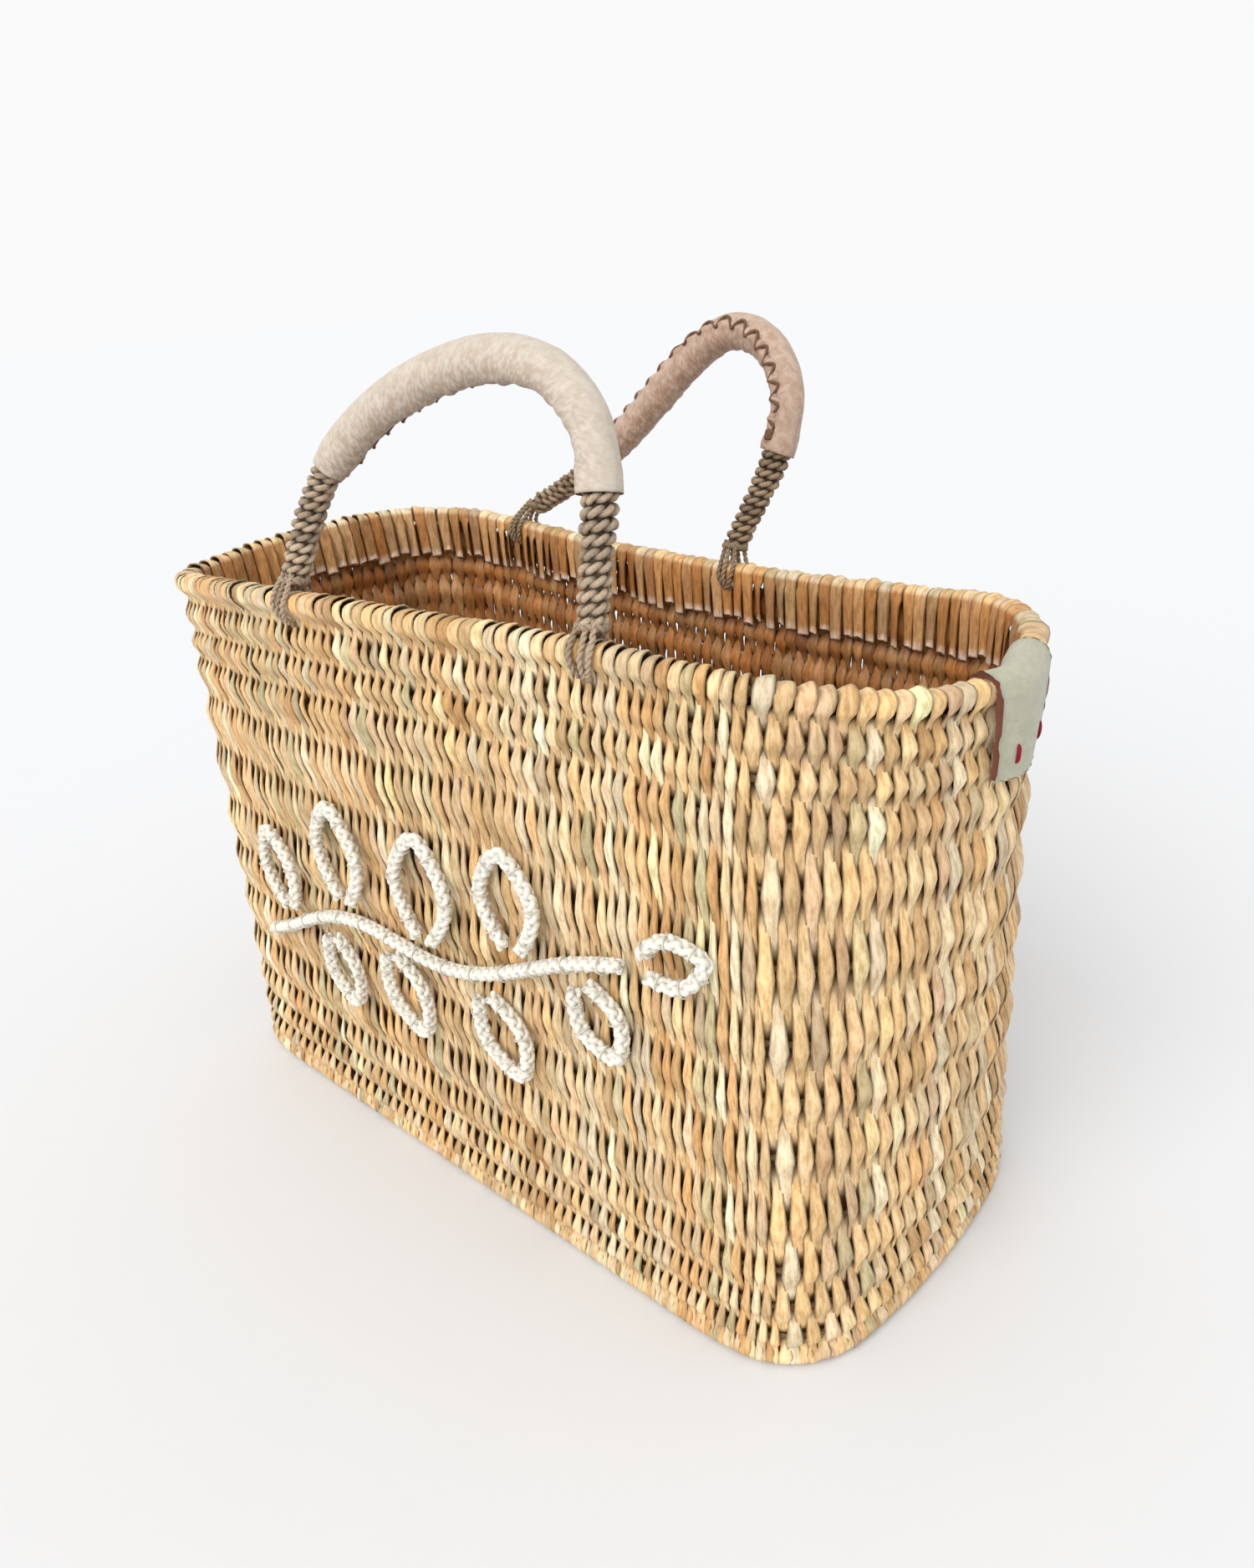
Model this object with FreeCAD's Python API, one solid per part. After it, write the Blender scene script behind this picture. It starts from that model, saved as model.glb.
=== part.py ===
"""Woven market basket: reed walls over hidden foundation cords, a rolled rim, two swinging handles,
a leather tab on one end of the rim and a cord motif sewn on the front.

Millimetres, +Z up.  The origin is the middle of the flat underside, +X runs along the basket
towards the end that carries the tab, and -Y is the front, which carries the motif.
"""

import FreeCAD, Part

import math
import os

Vector = FreeCAD.Vector

# ---------------------------------------------------------------- driving dimensions
RIM_HEIGHT = 261.0            # height of the rim cord's centre, before its rise and fall
BASE_HALF_LENGTH = 188.5      # outer edge of the base mat
BASE_HALF_WIDTH = 95.5
RIM_HALF_LENGTH = 184.0       # centre line of the rim cord
RIM_HALF_WIDTH = 86.0
RIM_SHIFT = (1.0, -6.0)       # the soft walls lean a little towards the front
# Corner radii, in the order front left, front right, back right, back left.
BASE_RADII = (34.0, 42.0, 48.0, 48.0)
RIM_RADII = (24.0, 92.0, 49.0, 53.0)
# How far each side bows outward at its middle: front, right, back, left.
BASE_BOWS = (0.0, 3.5, 0.0, 0.0)
RIM_BOWS = (18.0, 5.0, -6.5, 3.5)
# How far the rim's sides rise at their middles, and how far its right end and twist lift it.
RIM_LIFTS = (14.5, -11.0, -8.5, 3.5)
RIM_TILT = 2.5
RIM_TWIST = -3.0

WALL = 6.6                    # two layers of reed with the foundation cords between them
CORD = 3.0                    # foundation cord diameter
CAVITY = 4.4                  # space between the two layers of reed
GAP = 0.3                     # clearance between pieces that lie against each other
MAT = 7.0                     # base mat thickness
ROW_HEIGHTS = (13.1, 26.9, 43.4, 64.4, 92.6, 115.6, 138.6, 167.5, 195.7, 218.7, 233.2, 246.3)
BASE_CORDS = 7

RIM_CORD = 5.4                # diameter of the cord inside the rim
RIM_ROLL = 10.0               # diameter over the reeds folded round it

CORE = 7.6                    # rope core of a handle
WRAP = 12.4                   # diameter over the twisted cord on a handle's legs
SLEEVE = 15.4                 # diameter over the leather sleeve
LACE = 2.0                    # lacing of the sleeve
LASHING = 3.0                 # cord that ties a handle's foot to the rim

TAB_WIDTH = 37.0
TAB_CENTRE_Y = 19.5
TAB_THICKNESS = 2.4
TAB_INNER = RIM_ROLL / 2 + 0.6  # radius of the bend on its inner side
TAB_THREAD = 1.4
TAB_STEPS = 8                 # flats round the bend of the tab
TAB_DROP = 31.0               # length of the tab's flaps below the rim cord

MOTIF_CORD = 6.6
STITCH = 0.9


# ---------------------------------------------------------------- the basket's outline
class Track:
    """A closed line of points, followed by the distance along it from seam to seam."""

    def __init__(self, points, seams):
        self.points = points + [points[0]]
        self.reach = [0.0]
        for a, b in zip(self.points, self.points[1:]):
            self.reach.append(self.reach[-1] + a.distanceToPoint(b))
        self.length = self.reach[-1]
        self.marks = [self.nearest(x, y) for x, y in seams]
        while self.marks[0] > self.marks[1]:
            self.marks[0] -= self.length
        self.marks.append(self.marks[0] + self.length)

    def nearest(self, x, y):
        gaps = [math.hypot(p.x - x, p.y - y) for p in self.points[:-1]]
        return self.reach[gaps.index(min(gaps))]

    def at(self, station):
        """The point at a station: 0 to 1 is the front, 1 to 2 the right end, 2 to 3 the back,
        3 to 4 the left end."""
        side = math.floor(station) % 4
        part = station - math.floor(station)
        d = self.marks[side] + (self.marks[side + 1] - self.marks[side]) * part
        d %= self.length
        low, high = 0, len(self.reach) - 1
        while high - low > 1:
            middle = (low + high) // 2
            if self.reach[middle] <= d:
                low = middle
            else:
                high = middle
        share = (d - self.reach[low]) / (self.reach[high] - self.reach[low])
        return self.points[low] + (self.points[high] - self.points[low]) * share


def outline(half_length, half_width, radii, bows):
    """Plan points of a rectangle with rounded corners and bowed sides, from the front left."""
    fl, fr, br, bl = radii
    a, b = half_length, half_width
    sides = [
        ((-a + fl, -b), (a - fr, -b), (0, -1)),
        ((a, -b + fr), (a, b - br), (1, 0)),
        ((a - br, b), (-a + bl, b), (0, 1)),
        ((-a, b - bl), (-a, -b + fl), (-1, 0)),
    ]
    corners = [(a - fr, -b + fr, fr), (a - br, b - br, br), (-a + bl, b - bl, bl), (-a + fl, -b + fl, fl)]
    side_steps, corner_steps, smoothing = 40, 16, 12
    points = []
    for side in range(4):
        (x0, y0), (x1, y1), (nx, ny) = sides[side]
        for i in range(side_steps):
            t = i / side_steps
            swell = 4 * t * (1 - t) * bows[side]
            points.append(Vector(x0 + (x1 - x0) * t + nx * swell, y0 + (y1 - y0) * t + ny * swell, 0))
        cx, cy, radius = corners[side]
        for i in range(corner_steps):
            turn = math.radians(-90 + 90 * side + 90 * i / corner_steps)
            points.append(Vector(cx + radius * math.cos(turn), cy + radius * math.sin(turn), 0))
    for _ in range(smoothing):
        after = points[1:] + points[:1]
        before = points[-1:] + points[:-1]
        points = [p * 0.5 + (q + r) * 0.25 for p, q, r in zip(points, after, before)]
    return points


def limit(value):
    return max(-1.0, min(1.0, value))


def rim_outline():
    """The rim's centre line: its plan, with the rise and fall of its sides."""
    front, right, back, left = RIM_LIFTS
    points = []
    for p in outline(RIM_HALF_LENGTH, RIM_HALF_WIDTH, RIM_RADII, RIM_BOWS):
        u, w = limit(p.x / RIM_HALF_LENGTH), limit(p.y / RIM_HALF_WIDTH)
        long_side = front * max(-w, 0) ** 2 + back * max(w, 0) ** 2
        end = right * max(u, 0) ** 4 + left * max(-u, 0) ** 4
        rise = long_side * (1 - u * u) + end * (1 - w * w) + RIM_TILT * u + RIM_TWIST * u * w
        points.append(Vector(p.x + RIM_SHIFT[0], p.y + RIM_SHIFT[1], RIM_HEIGHT + rise))
    return points


INSET = WALL / 2
BASE_TRACK = Track(
    outline(BASE_HALF_LENGTH - INSET, BASE_HALF_WIDTH - INSET, [r - INSET for r in BASE_RADII], BASE_BOWS),
    [(-168, -91), (166, -86), (168, 86), (-168, 86)],
)
RIM_TRACK = Track(rim_outline(), [(-166, -86), (144, -72), (162, 62), (-162, 62)])


def rim(station):
    return RIM_TRACK.at(station)


def wall(station, height, offset=0.0):
    """A point of the wall's middle surface, moved outward by offset.  height is counted as if the
    rim were level, so a row at one height follows the rim's rise and fall."""
    share = height / RIM_HEIGHT
    step = 0.004

    def middle(s):
        low, high = BASE_TRACK.at(s), RIM_TRACK.at(s)
        return low + (high - low) * share

    point = middle(station)
    along = middle(station + step) - middle(station - step)
    outward = Vector(along.y, -along.x, 0).normalize()
    return point + outward * offset


def outward_at(station, height=RIM_HEIGHT):
    return (wall(station, height, 1.0) - wall(station, height)).normalize()


# ---------------------------------------------------------------- tools for shapes
def rounded_line(points, closed=False, share=0.45):
    """Straight runs joined by tangent arcs, each arc as large as its two runs allow."""
    count = len(points)
    starts, ends, arcs = {}, {}, {}
    turning = range(count) if closed else range(1, count - 1)
    for i in turning:
        p, q, r = points[i - 1], points[i], points[(i + 1) % count]
        trim = share * min(q.distanceToPoint(p), q.distanceToPoint(r))
        back = (p - q).normalize()
        ahead = (r - q).normalize()
        first, last = q + back * trim, q + ahead * trim
        half_turn = (math.pi - back.getAngle(ahead)) / 2
        if half_turn < 1e-4:
            starts[i], ends[i], arcs[i] = q, q, None
            continue
        inward = (back + ahead).normalize()
        radius = trim / math.tan(half_turn)
        deep = radius / math.cos(half_turn) - radius
        starts[i], ends[i] = first, last
        arcs[i] = Part.Arc(first, q + inward * deep, last).toShape()
    if not closed:
        starts[0] = ends[0] = points[0]
        starts[count - 1] = ends[count - 1] = points[-1]
    edges = []
    for i in range(count):
        if arcs.get(i):
            edges.append(arcs[i])
        if closed or i < count - 1:
            j = (i + 1) % count
            edges.append(Part.LineSegment(ends[i], starts[j]).toShape())
    return Part.Wire(edges)


def round_bar(edges, diameter):
    path = Part.Wire(edges)
    start = edges[0].valueAt(edges[0].FirstParameter)
    ahead = edges[0].tangentAt(edges[0].FirstParameter)
    disc = Part.Face(Part.Wire(Part.makeCircle(diameter / 2, start, ahead)))
    return path.makePipe(disc).Solids[0]


def tube(path, diameter, hole=0.0):
    """A round bar along a path, hollow when it has a hole.  A closed path is swept in two halves."""
    edges = path.OrderedEdges
    if path.isClosed():
        half = len(edges) // 2
        bar = round_bar(edges[:half], diameter).fuse(round_bar(edges[half:], diameter)).removeSplitter()
    else:
        bar = round_bar(edges, diameter)
    if hole:
        bar = bar.cut(tube(path, hole))
    return bar.Solids[0]


def smooth_edge(points):
    curve = Part.BSplineCurve()
    curve.interpolate(points)
    return curve.toShape()


def between(first, second):
    return Part.makeRuledSurface(first, second)


def solid_of(faces):
    shell = Part.makeShell(faces)
    shell.sewShape()
    solid = Part.makeSolid(shell.Shells[0] if shell.Shells else shell)
    if solid.Volume < 0:
        solid.reverse()
    return solid


PANELS = ("front_wall_reeds", "right_end_reeds", "back_wall_reeds", "left_end_reeds")
PANEL_STEPS = 24              # places at which a panel's long edges are held to the outline
SEAM = 0.0008                 # station left free at each upright edge of a panel


def wall_block(start, end, low, high, inner, outer):
    """A closed piece of wall between two stations, two heights and two offsets."""
    stations = [start + (end - start) * i / PANEL_STEPS for i in range(PANEL_STEPS + 1)]

    def edge(height, offset):
        return smooth_edge([wall(s, height, offset) for s in stations])

    low_in, low_out = edge(low, inner), edge(low, outer)
    high_in, high_out = edge(high, inner), edge(high, outer)
    faces = [
        between(low_out, high_out),
        between(low_in, high_in),
        between(low_in, low_out),
        between(high_in, high_out),
    ]
    for s in (start, end):
        foot = Part.LineSegment(wall(s, low, inner), wall(s, low, outer)).toShape()
        head = Part.LineSegment(wall(s, high, inner), wall(s, high, outer)).toShape()
        faces.append(between(foot, head))
    return solid_of(faces)


def export(name, shapes):
    shape = shapes[0] if len(shapes) == 1 else Part.makeCompound(shapes)
    shape.exportStep(os.path.join("parts", name + ".step"))
    size = f"solids {len(shape.Solids):3d}  volume {shape.Volume / 1000:8.2f} cm3"
    print(f"{name:26s} {size}  valid {shape.isValid()}")


# ---------------------------------------------------------------- base
def make_base():
    outer = []
    for i in range(64):
        p = wall(i / 16, 0, INSET)
        outer.append(Vector(p.x, p.y, 0))
    curve = Part.BSplineCurve()
    curve.interpolate(outer, True)
    mat = Part.Face(Part.Wire(curve.toShape())).extrude(Vector(0, 0, MAT))
    cords = []
    spacing = 2 * BASE_HALF_WIDTH / (BASE_CORDS + 1)
    for i in range(BASE_CORDS):
        y = -BASE_HALF_WIDTH + spacing * (i + 1)
        inset = 14.0 if abs(y) < BASE_HALF_WIDTH - 30 else 26.0
        half = BASE_HALF_LENGTH - inset
        start = Vector(-half, y, MAT / 2)
        room = GAP / 2
        bore = Part.makeCylinder(CORD / 2 + room, 2 * half + 2 * room, start - Vector(room, 0, 0), Vector(1, 0, 0))
        mat = mat.cut(bore)
        cords.append(Part.makeCylinder(CORD / 2, 2 * half, start, Vector(1, 0, 0)))
    export("base_reeds", [mat])
    for i, cord in enumerate(cords):
        export(f"base_cord_{i + 1}", [cord])


# ---------------------------------------------------------------- rim, walls and foundation cords
RING_STEPS = 144


def ring(height, offset, diameter, hole=0.0):
    points = [wall(4 * i / RING_STEPS, height, offset) for i in range(RING_STEPS)]
    return tube(rounded_line(points, closed=True), diameter, hole)


def lashing_loops(station):
    """Two loops of cord side by side at a handle's foot, over the rim and through the wall under it."""
    over = RIM_ROLL / 2 + LASHING / 2 + GAP
    out = outward_at(station)
    along = Vector(-out.y, out.x, 0)
    top = Vector(0, 0, over)
    drop = Vector(0, 0, -3.5)
    loops = []
    for shift in (-2.0, 2.0):
        c = rim(station) + along * shift
        outer, inner = c + out * over, c - out * over
        edges = [
            Part.Arc(outer, c + top, inner).toShape(),
            Part.LineSegment(inner, inner + drop).toShape(),
            Part.Arc(inner + drop, c + drop - top, outer + drop).toShape(),
            Part.LineSegment(outer + drop, outer).toShape(),
        ]
        loops.append(Part.Wire(edges))
    return loops


def station_at_x(x, side):
    """The station on the front (side 0) or back (side 2) whose rim point has this x."""
    low, high = side + 0.02, side + 0.98
    for _ in range(40):
        middle = (low + high) / 2
        if (rim(middle).x < x) == (side == 0):
            low = middle
        else:
            high = middle
    return low


# ---------------------------------------------------------------- handles
# Routes of the two handles in their own plane: u along the line between the feet from its middle,
# v away from that line.  The front arch is nearly even, the back one is pulled to the right.
FEET = {"front": (-48.5, 94.0), "back": (-117.0, 26.0)}
FOOT_CLEARANCE = RIM_ROLL / 2 + LASHING + 2 * GAP + 1.2
ROUTES = {
    "front": [
        (-70.5, FOOT_CLEARANCE), (-66.0, 28.0), (-57.0, 49.0), (-40.0, 67.0), (-17.0, 81.0), (8.0, 89.5),
        (28.0, 91.5), (45.0, 88.0), (58.0, 79.5), (66.5, 68.0), (70.5, 52.0), (71.5, 33.0), (72.0, FOOT_CLEARANCE),
    ],
    "back": [
        (-64.0, 14.5), (-49.0, 23.0), (-31.0, 36.0), (-12.0, 53.0), (5.0, 73.0), (23.0, 94.5),
        (41.0, 107.0), (58.5, 105.0), (74.0, 94.0), (83.0, 77.0), (82.5, 55.0), (75.5, 33.0), (69.0, 13.0),
    ],
}
LEANS = {"front": 15.0, "back": 18.0}      # degrees towards +Y from upright, as the handles stand
SLEEVE_ENDS = {"front": (51.0, 50.0), "back": (44.0, 55.0)}    # v where the sleeve starts and ends


def handle_frame(name):
    side = 0 if name == "front" else 2
    left, right = (rim(station_at_x(x, side)) for x in FEET[name])
    across = (right - left).normalize()
    level = Vector(-across.y, across.x, 0).normalize()
    upright = across.cross(level).normalize()
    upright = upright if upright.z > 0 else upright * -1
    lean = math.radians(LEANS[name])
    up = upright * math.cos(lean) + level * math.sin(lean)
    return (left + right) * 0.5, across, up, side


def make_handle(name):
    middle, across, up, side = handle_frame(name)

    def place(u, v):
        return middle + across * u + up * v

    route = [place(u, v) for u, v in ROUTES[name]]
    path = rounded_line(route)
    core = tube(path, CORE)
    export(f"{name}_handle_core", [core])

    # The path is cut where the sleeve starts and ends; the legs keep the wrap, the arch the sleeve.
    low_left, low_right = SLEEVE_ENDS[name]
    span = path.Length
    samples = 400
    points = path.discretize(samples + 1)
    heights = [(p - middle).dot(up) for p in points]
    left_steps = next(i for i, h in enumerate(heights) if h > low_left)
    right_steps = next(i for i, h in enumerate(reversed(heights)) if h > low_right)
    left_cut = left_steps / samples * span
    right_cut = (samples - right_steps) / samples * span
    legs = {"left": stretch(path, 0, left_cut - GAP), "right": stretch(path, right_cut + GAP, span)}
    for leg, piece in legs.items():
        export(f"{name}_handle_{leg}_wrap", [tube(piece, WRAP, CORE + 2 * GAP)])
    arch = stretch(path, left_cut, right_cut)
    export(f"{name}_handle_sleeve", [tube(arch, SLEEVE, CORE + 2 * GAP)])
    make_lacing(name, path, left_cut, right_cut, up, across, middle)

    for foot, x in zip(("left", "right"), FEET[name]):
        loops = lashing_loops(station_at_x(x, side))
        export(f"{name}_{foot}_lashing", [tube(loop, LASHING) for loop in loops])


def stretch(path, start, end):
    """The piece of a path between two distances along it."""
    edges = []
    done = 0.0
    for edge in path.OrderedEdges:
        length = edge.Length
        low, high = max(start - done, 0), min(end - done, length)
        if high - low > 1e-6:
            curve = edge.Curve
            first, last = edge.FirstParameter, edge.LastParameter
            if edge.Orientation == "Reversed":
                low, high = length - high, length - low
            p = first + (last - first) * low / length
            q = first + (last - first) * high / length
            edges.append(curve.toShape(p, q))
        done += length
    return Part.Wire(Part.__sortEdges__(edges))


def make_lacing(name, path, start, end, up, across, middle):
    """The lacing that closes the sleeve along the arch's inner side, with a knot at its right end."""
    depth = SLEEVE / 2 + LACE / 2 + 2 * GAP
    inset = 8.0
    arch = stretch(path, start + inset, end - inset)
    points = arch.discretize(31)
    normal = across.cross(up)
    line = []
    for i, p in enumerate(points):
        before, after = points[max(i - 1, 0)], points[min(i + 1, len(points) - 1)]
        ahead = (after - before).normalize()
        inward = normal.cross(ahead).normalize()
        if (middle + up * 30 - p).dot(inward) < 0:
            inward = inward * -1
        line.append(p + inward * depth)
    lace = tube(rounded_line(line), LACE)
    knot_radius = LACE * 1.3
    knot_centre = line[-1] + ahead * (knot_radius + GAP) + inward * (knot_radius - LACE / 2 + GAP)
    knot = Part.makeSphere(knot_radius, knot_centre)
    export(f"{name}_handle_lacing", [lace, knot])


# ---------------------------------------------------------------- tab
def tab_stations():
    stations = []
    for y in (TAB_CENTRE_Y - TAB_WIDTH / 2, TAB_CENTRE_Y + TAB_WIDTH / 2):
        low, high = 1.0, 2.0
        for _ in range(40):
            middle = (low + high) / 2
            if rim(middle).y < y:
                low = middle
            else:
                high = middle
        stations.append(low)
    return stations


def tab_section(station):
    """A U over the rim at one station, as a closed line: down the outside, over the roll, down the inside."""
    centre, out = rim(station), outward_at(station)
    fall = wall(station, RIM_HEIGHT - TAB_DROP) - centre
    down = out * fall.dot(out) + Vector(0, 0, fall.z)
    turns = [math.pi * i / TAB_STEPS for i in range(TAB_STEPS + 1)]
    half = []
    for radius in (TAB_INNER, TAB_INNER + TAB_THICKNESS):
        arc = [centre + out * (radius * math.cos(t)) + Vector(0, 0, radius * math.sin(t)) for t in turns]
        half.append([arc[0] + down] + arc + [arc[-1] + down])
    return half[0] + half[1][::-1]


def make_tab():
    """A strap bent over the rim, and two stitches through both of its flaps."""
    low, high = tab_stations()
    sections = [tab_section(low + (high - low) * i / 6) for i in range(7)]
    edges = [smooth_edge(list(line)) for line in zip(*sections)]
    faces = [between(edges[i - 1], edges[i]) for i in range(len(edges))]
    for section in (sections[0], sections[-1]):
        faces.append(Part.Face(Part.makePolygon(section + [section[0]])))
    tab = solid_of(faces)
    stitches, slots = [], []
    reach = TAB_INNER + TAB_THICKNESS + TAB_THREAD / 2 + GAP
    for share in (0.26, 0.70):
        s = low + (high - low) * share
        out = outward_at(s)
        along = Vector(-out.y, out.x, 0)
        corners = []
        for drop, side in ((25.2, 1), (18.2, 1), (18.2, -1), (25.2, -1)):
            corners.append(wall(s, RIM_HEIGHT - drop) + out * reach * side)
        stitches.append(tube(rounded_line(corners, closed=True, share=0.2), TAB_THREAD))
        room = TAB_THREAD / 2 + GAP
        width = along * (2 * room + 1.2)
        rise = Vector(0, 0, corners[2].z - corners[3].z + 2 * room)
        sill = corners[3] - out - width / 2 - Vector(0, 0, room)
        frame = [sill, sill + width, sill + width + rise, sill + rise]
        slots.append(Part.Face(Part.makePolygon(frame + [sill])).extrude(out * (2 * reach + 2)))
    for slot in slots:
        tab = tab.cut(slot)
    export("leather_tab", [tab])
    export("tab_stitches", stitches)
    return slots


# ---------------------------------------------------------------- cord motif on the front
# A leafy sprig: one cord for the stem and one for each leaf, as x along the front and z height.
STEM = [
    (-126, 92), (-106, 100), (-84, 112), (-60, 122), (-36, 126), (-12, 124),
    (12, 122), (36, 127), (60, 138), (84, 150), (106, 156),
]
# Foot of each leaf on the stem, the way it points in degrees, and its length.
LEAVES = [
    (-98, 104, 103, 50), (-48, 124, 88, 56), (4, 123, 84, 58), (56, 136, 92, 50),
    (-70, 118, -72, 44), (-25, 125, -66, 48), (32, 126, -62, 46), (82, 149, -58, 40), (106, 156, 22, 34),
]
LEAF_SLIMNESS = 0.52


def front_station(x, height):
    low, high = 0.0, 1.0
    for _ in range(40):
        middle = (low + high) / 2
        if wall(middle, height).x < x:
            low = middle
        else:
            high = middle
    return low


def leaf_route(x, z, angle, length):
    """A pointed leaf drawn by one cord that starts and ends beside the stem."""
    neck = MOTIF_CORD / 2 + 2 * GAP
    start = MOTIF_CORD + 3.2
    half = length * LEAF_SLIMNESS / 2
    shape = [(0, neck), (0.26, half * 0.9), (0.56, half), (0.82, half * 0.55), (1.0, 0.0)]
    sides = shape + [(a, -c) for a, c in reversed(shape[:-1])]
    turn = math.radians(angle)
    route = []
    for a, c in sides:
        reach = start + a * (length - start)
        across = reach * math.cos(turn) - c * math.sin(turn)
        rise = reach * math.sin(turn) + c * math.cos(turn)
        route.append((x + across, z + rise))
    return route


def on_front(x, z, lift):
    return wall(front_station(x, z), z, lift)


def make_motif():
    lift = WALL / 2 + MOTIF_CORD / 2 + GAP
    leaves, staples = [], []
    reach = MOTIF_CORD / 2 + STITCH / 2 + 0.4
    for index, route in enumerate([STEM] + [leaf_route(*leaf) for leaf in LEAVES]):
        path = rounded_line([on_front(x, z, lift) for x, z in route])
        cord = tube(path, MOTIF_CORD)
        if index == 0:
            export("motif_stem", [cord])
        else:
            leaves.append(cord)
        count = 7 if index == 0 else 4
        for i in range(count):
            piece = stretch(path, path.Length * (i + 0.5) / count, path.Length * (i + 0.5) / count + 0.5)
            edge = piece.OrderedEdges[0]
            c = edge.valueAt(edge.FirstParameter)
            out = outward_at(front_station(c.x, c.z), c.z)
            side = edge.tangentAt(edge.FirstParameter).cross(out).normalize()
            arc = Part.Arc(c + side * reach, c + out * reach, c - side * reach).toShape()
            staples.append(tube(Part.Wire([arc]), STITCH))
    export("motif_leaves", leaves)
    export("motif_stitches", staples)


# ---------------------------------------------------------------- build
def make_walls(tab_slots):
    ends = RIM_HEIGHT - RIM_ROLL / 2 - GAP
    floor = MAT + GAP
    cuts = {side: [] for side in range(4)}
    for name, side in (("front", 0), ("back", 2)):
        for x in FEET[name]:
            cuts[side] += [tube(loop, LASHING + 2 * GAP) for loop in lashing_loops(station_at_x(x, side))]
    cuts[1] = tab_slots
    for side, name in enumerate(PANELS):
        start, end = side + SEAM, side + 1 - SEAM
        block = wall_block(start, end, floor, ends, -WALL / 2, WALL / 2)
        cavity = wall_block(start - 0.01, end + 0.01, floor + 1.5, ends - 1.5, -CAVITY / 2, CAVITY / 2)
        panel = block.cut(cavity)
        for cut in cuts[side]:
            panel = panel.cut(cut)
        export(name, [panel])
    for i, height in enumerate(ROW_HEIGHTS):
        export(f"foundation_cord_{i + 1:02d}", [ring(height, 0.0, CORD)])
    export("rim_core_cord", [ring(RIM_HEIGHT, 0.0, RIM_CORD)])
    export("rim_fold_reeds", [ring(RIM_HEIGHT, 0.0, RIM_ROLL, RIM_CORD + 2 * GAP)])


def main():
    os.makedirs("parts", exist_ok=True)
    make_base()
    make_walls(make_tab())
    for name in ("front", "back"):
        make_handle(name)
        middle, across, up, side = handle_frame(name)
        print(name, "axis point", [round(v, 2) for v in middle], "axis", [round(v, 5) for v in across])
    make_motif()


main()
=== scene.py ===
import math

import bmesh
import bpy
import numpy as np
from mathutils import Matrix, Vector


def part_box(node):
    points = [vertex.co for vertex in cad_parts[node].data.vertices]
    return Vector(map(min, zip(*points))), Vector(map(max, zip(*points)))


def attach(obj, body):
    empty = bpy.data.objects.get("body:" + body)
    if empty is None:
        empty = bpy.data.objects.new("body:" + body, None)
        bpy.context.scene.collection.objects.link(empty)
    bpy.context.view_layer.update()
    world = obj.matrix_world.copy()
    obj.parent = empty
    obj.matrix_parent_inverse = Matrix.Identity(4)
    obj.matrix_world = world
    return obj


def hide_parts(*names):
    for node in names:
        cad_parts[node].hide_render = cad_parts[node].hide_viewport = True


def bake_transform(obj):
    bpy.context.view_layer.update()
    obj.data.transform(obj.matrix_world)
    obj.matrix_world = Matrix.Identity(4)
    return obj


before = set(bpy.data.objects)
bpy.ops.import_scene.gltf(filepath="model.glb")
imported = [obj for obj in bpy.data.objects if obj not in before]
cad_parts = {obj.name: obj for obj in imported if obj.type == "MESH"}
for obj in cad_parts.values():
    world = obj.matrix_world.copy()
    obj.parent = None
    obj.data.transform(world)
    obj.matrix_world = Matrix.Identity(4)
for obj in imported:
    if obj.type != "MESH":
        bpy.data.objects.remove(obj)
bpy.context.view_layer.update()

MM = 0.001
UP = np.array([0.0, 0.0, 1.0])

# ------------ driving dimensions, as in the CAD
RIM_HEIGHT = 261.0
BASE_HALF_LENGTH = 188.5
BASE_HALF_WIDTH = 95.5
RIM_HALF_LENGTH = 184.0
RIM_HALF_WIDTH = 86.0
RIM_SHIFT = (1.0, -6.0)
BASE_RADII = (34.0, 42.0, 48.0, 48.0)
RIM_RADII = (24.0, 92.0, 49.0, 53.0)
BASE_BOWS = (0.0, 3.5, 0.0, 0.0)
RIM_BOWS = (18.0, 5.0, -6.5, 3.5)
RIM_LIFTS = (14.5, -11.0, -8.5, 3.5)
RIM_TILT = 2.5
RIM_TWIST = -3.0
WALL = 6.6
MAT = 7.0
ROW_HEIGHTS = (13.1, 26.9, 43.4, 64.4, 92.6, 115.6, 138.6, 167.5, 195.7, 218.7, 233.2, 246.3)
BASE_CORDS = 7
BASE_SPACING = 2 * BASE_HALF_WIDTH / (BASE_CORDS + 1)
RIM_ROLL = 10.0
CORE = 7.6
WRAP = 12.4
SLEEVE = 15.4
TAB_WIDTH = 37.0
TAB_CENTRE_Y = 19.5
TAB_THICKNESS = 2.4
TAB_DROP = 31.0
MOTIF_CORD = 6.6


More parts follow.
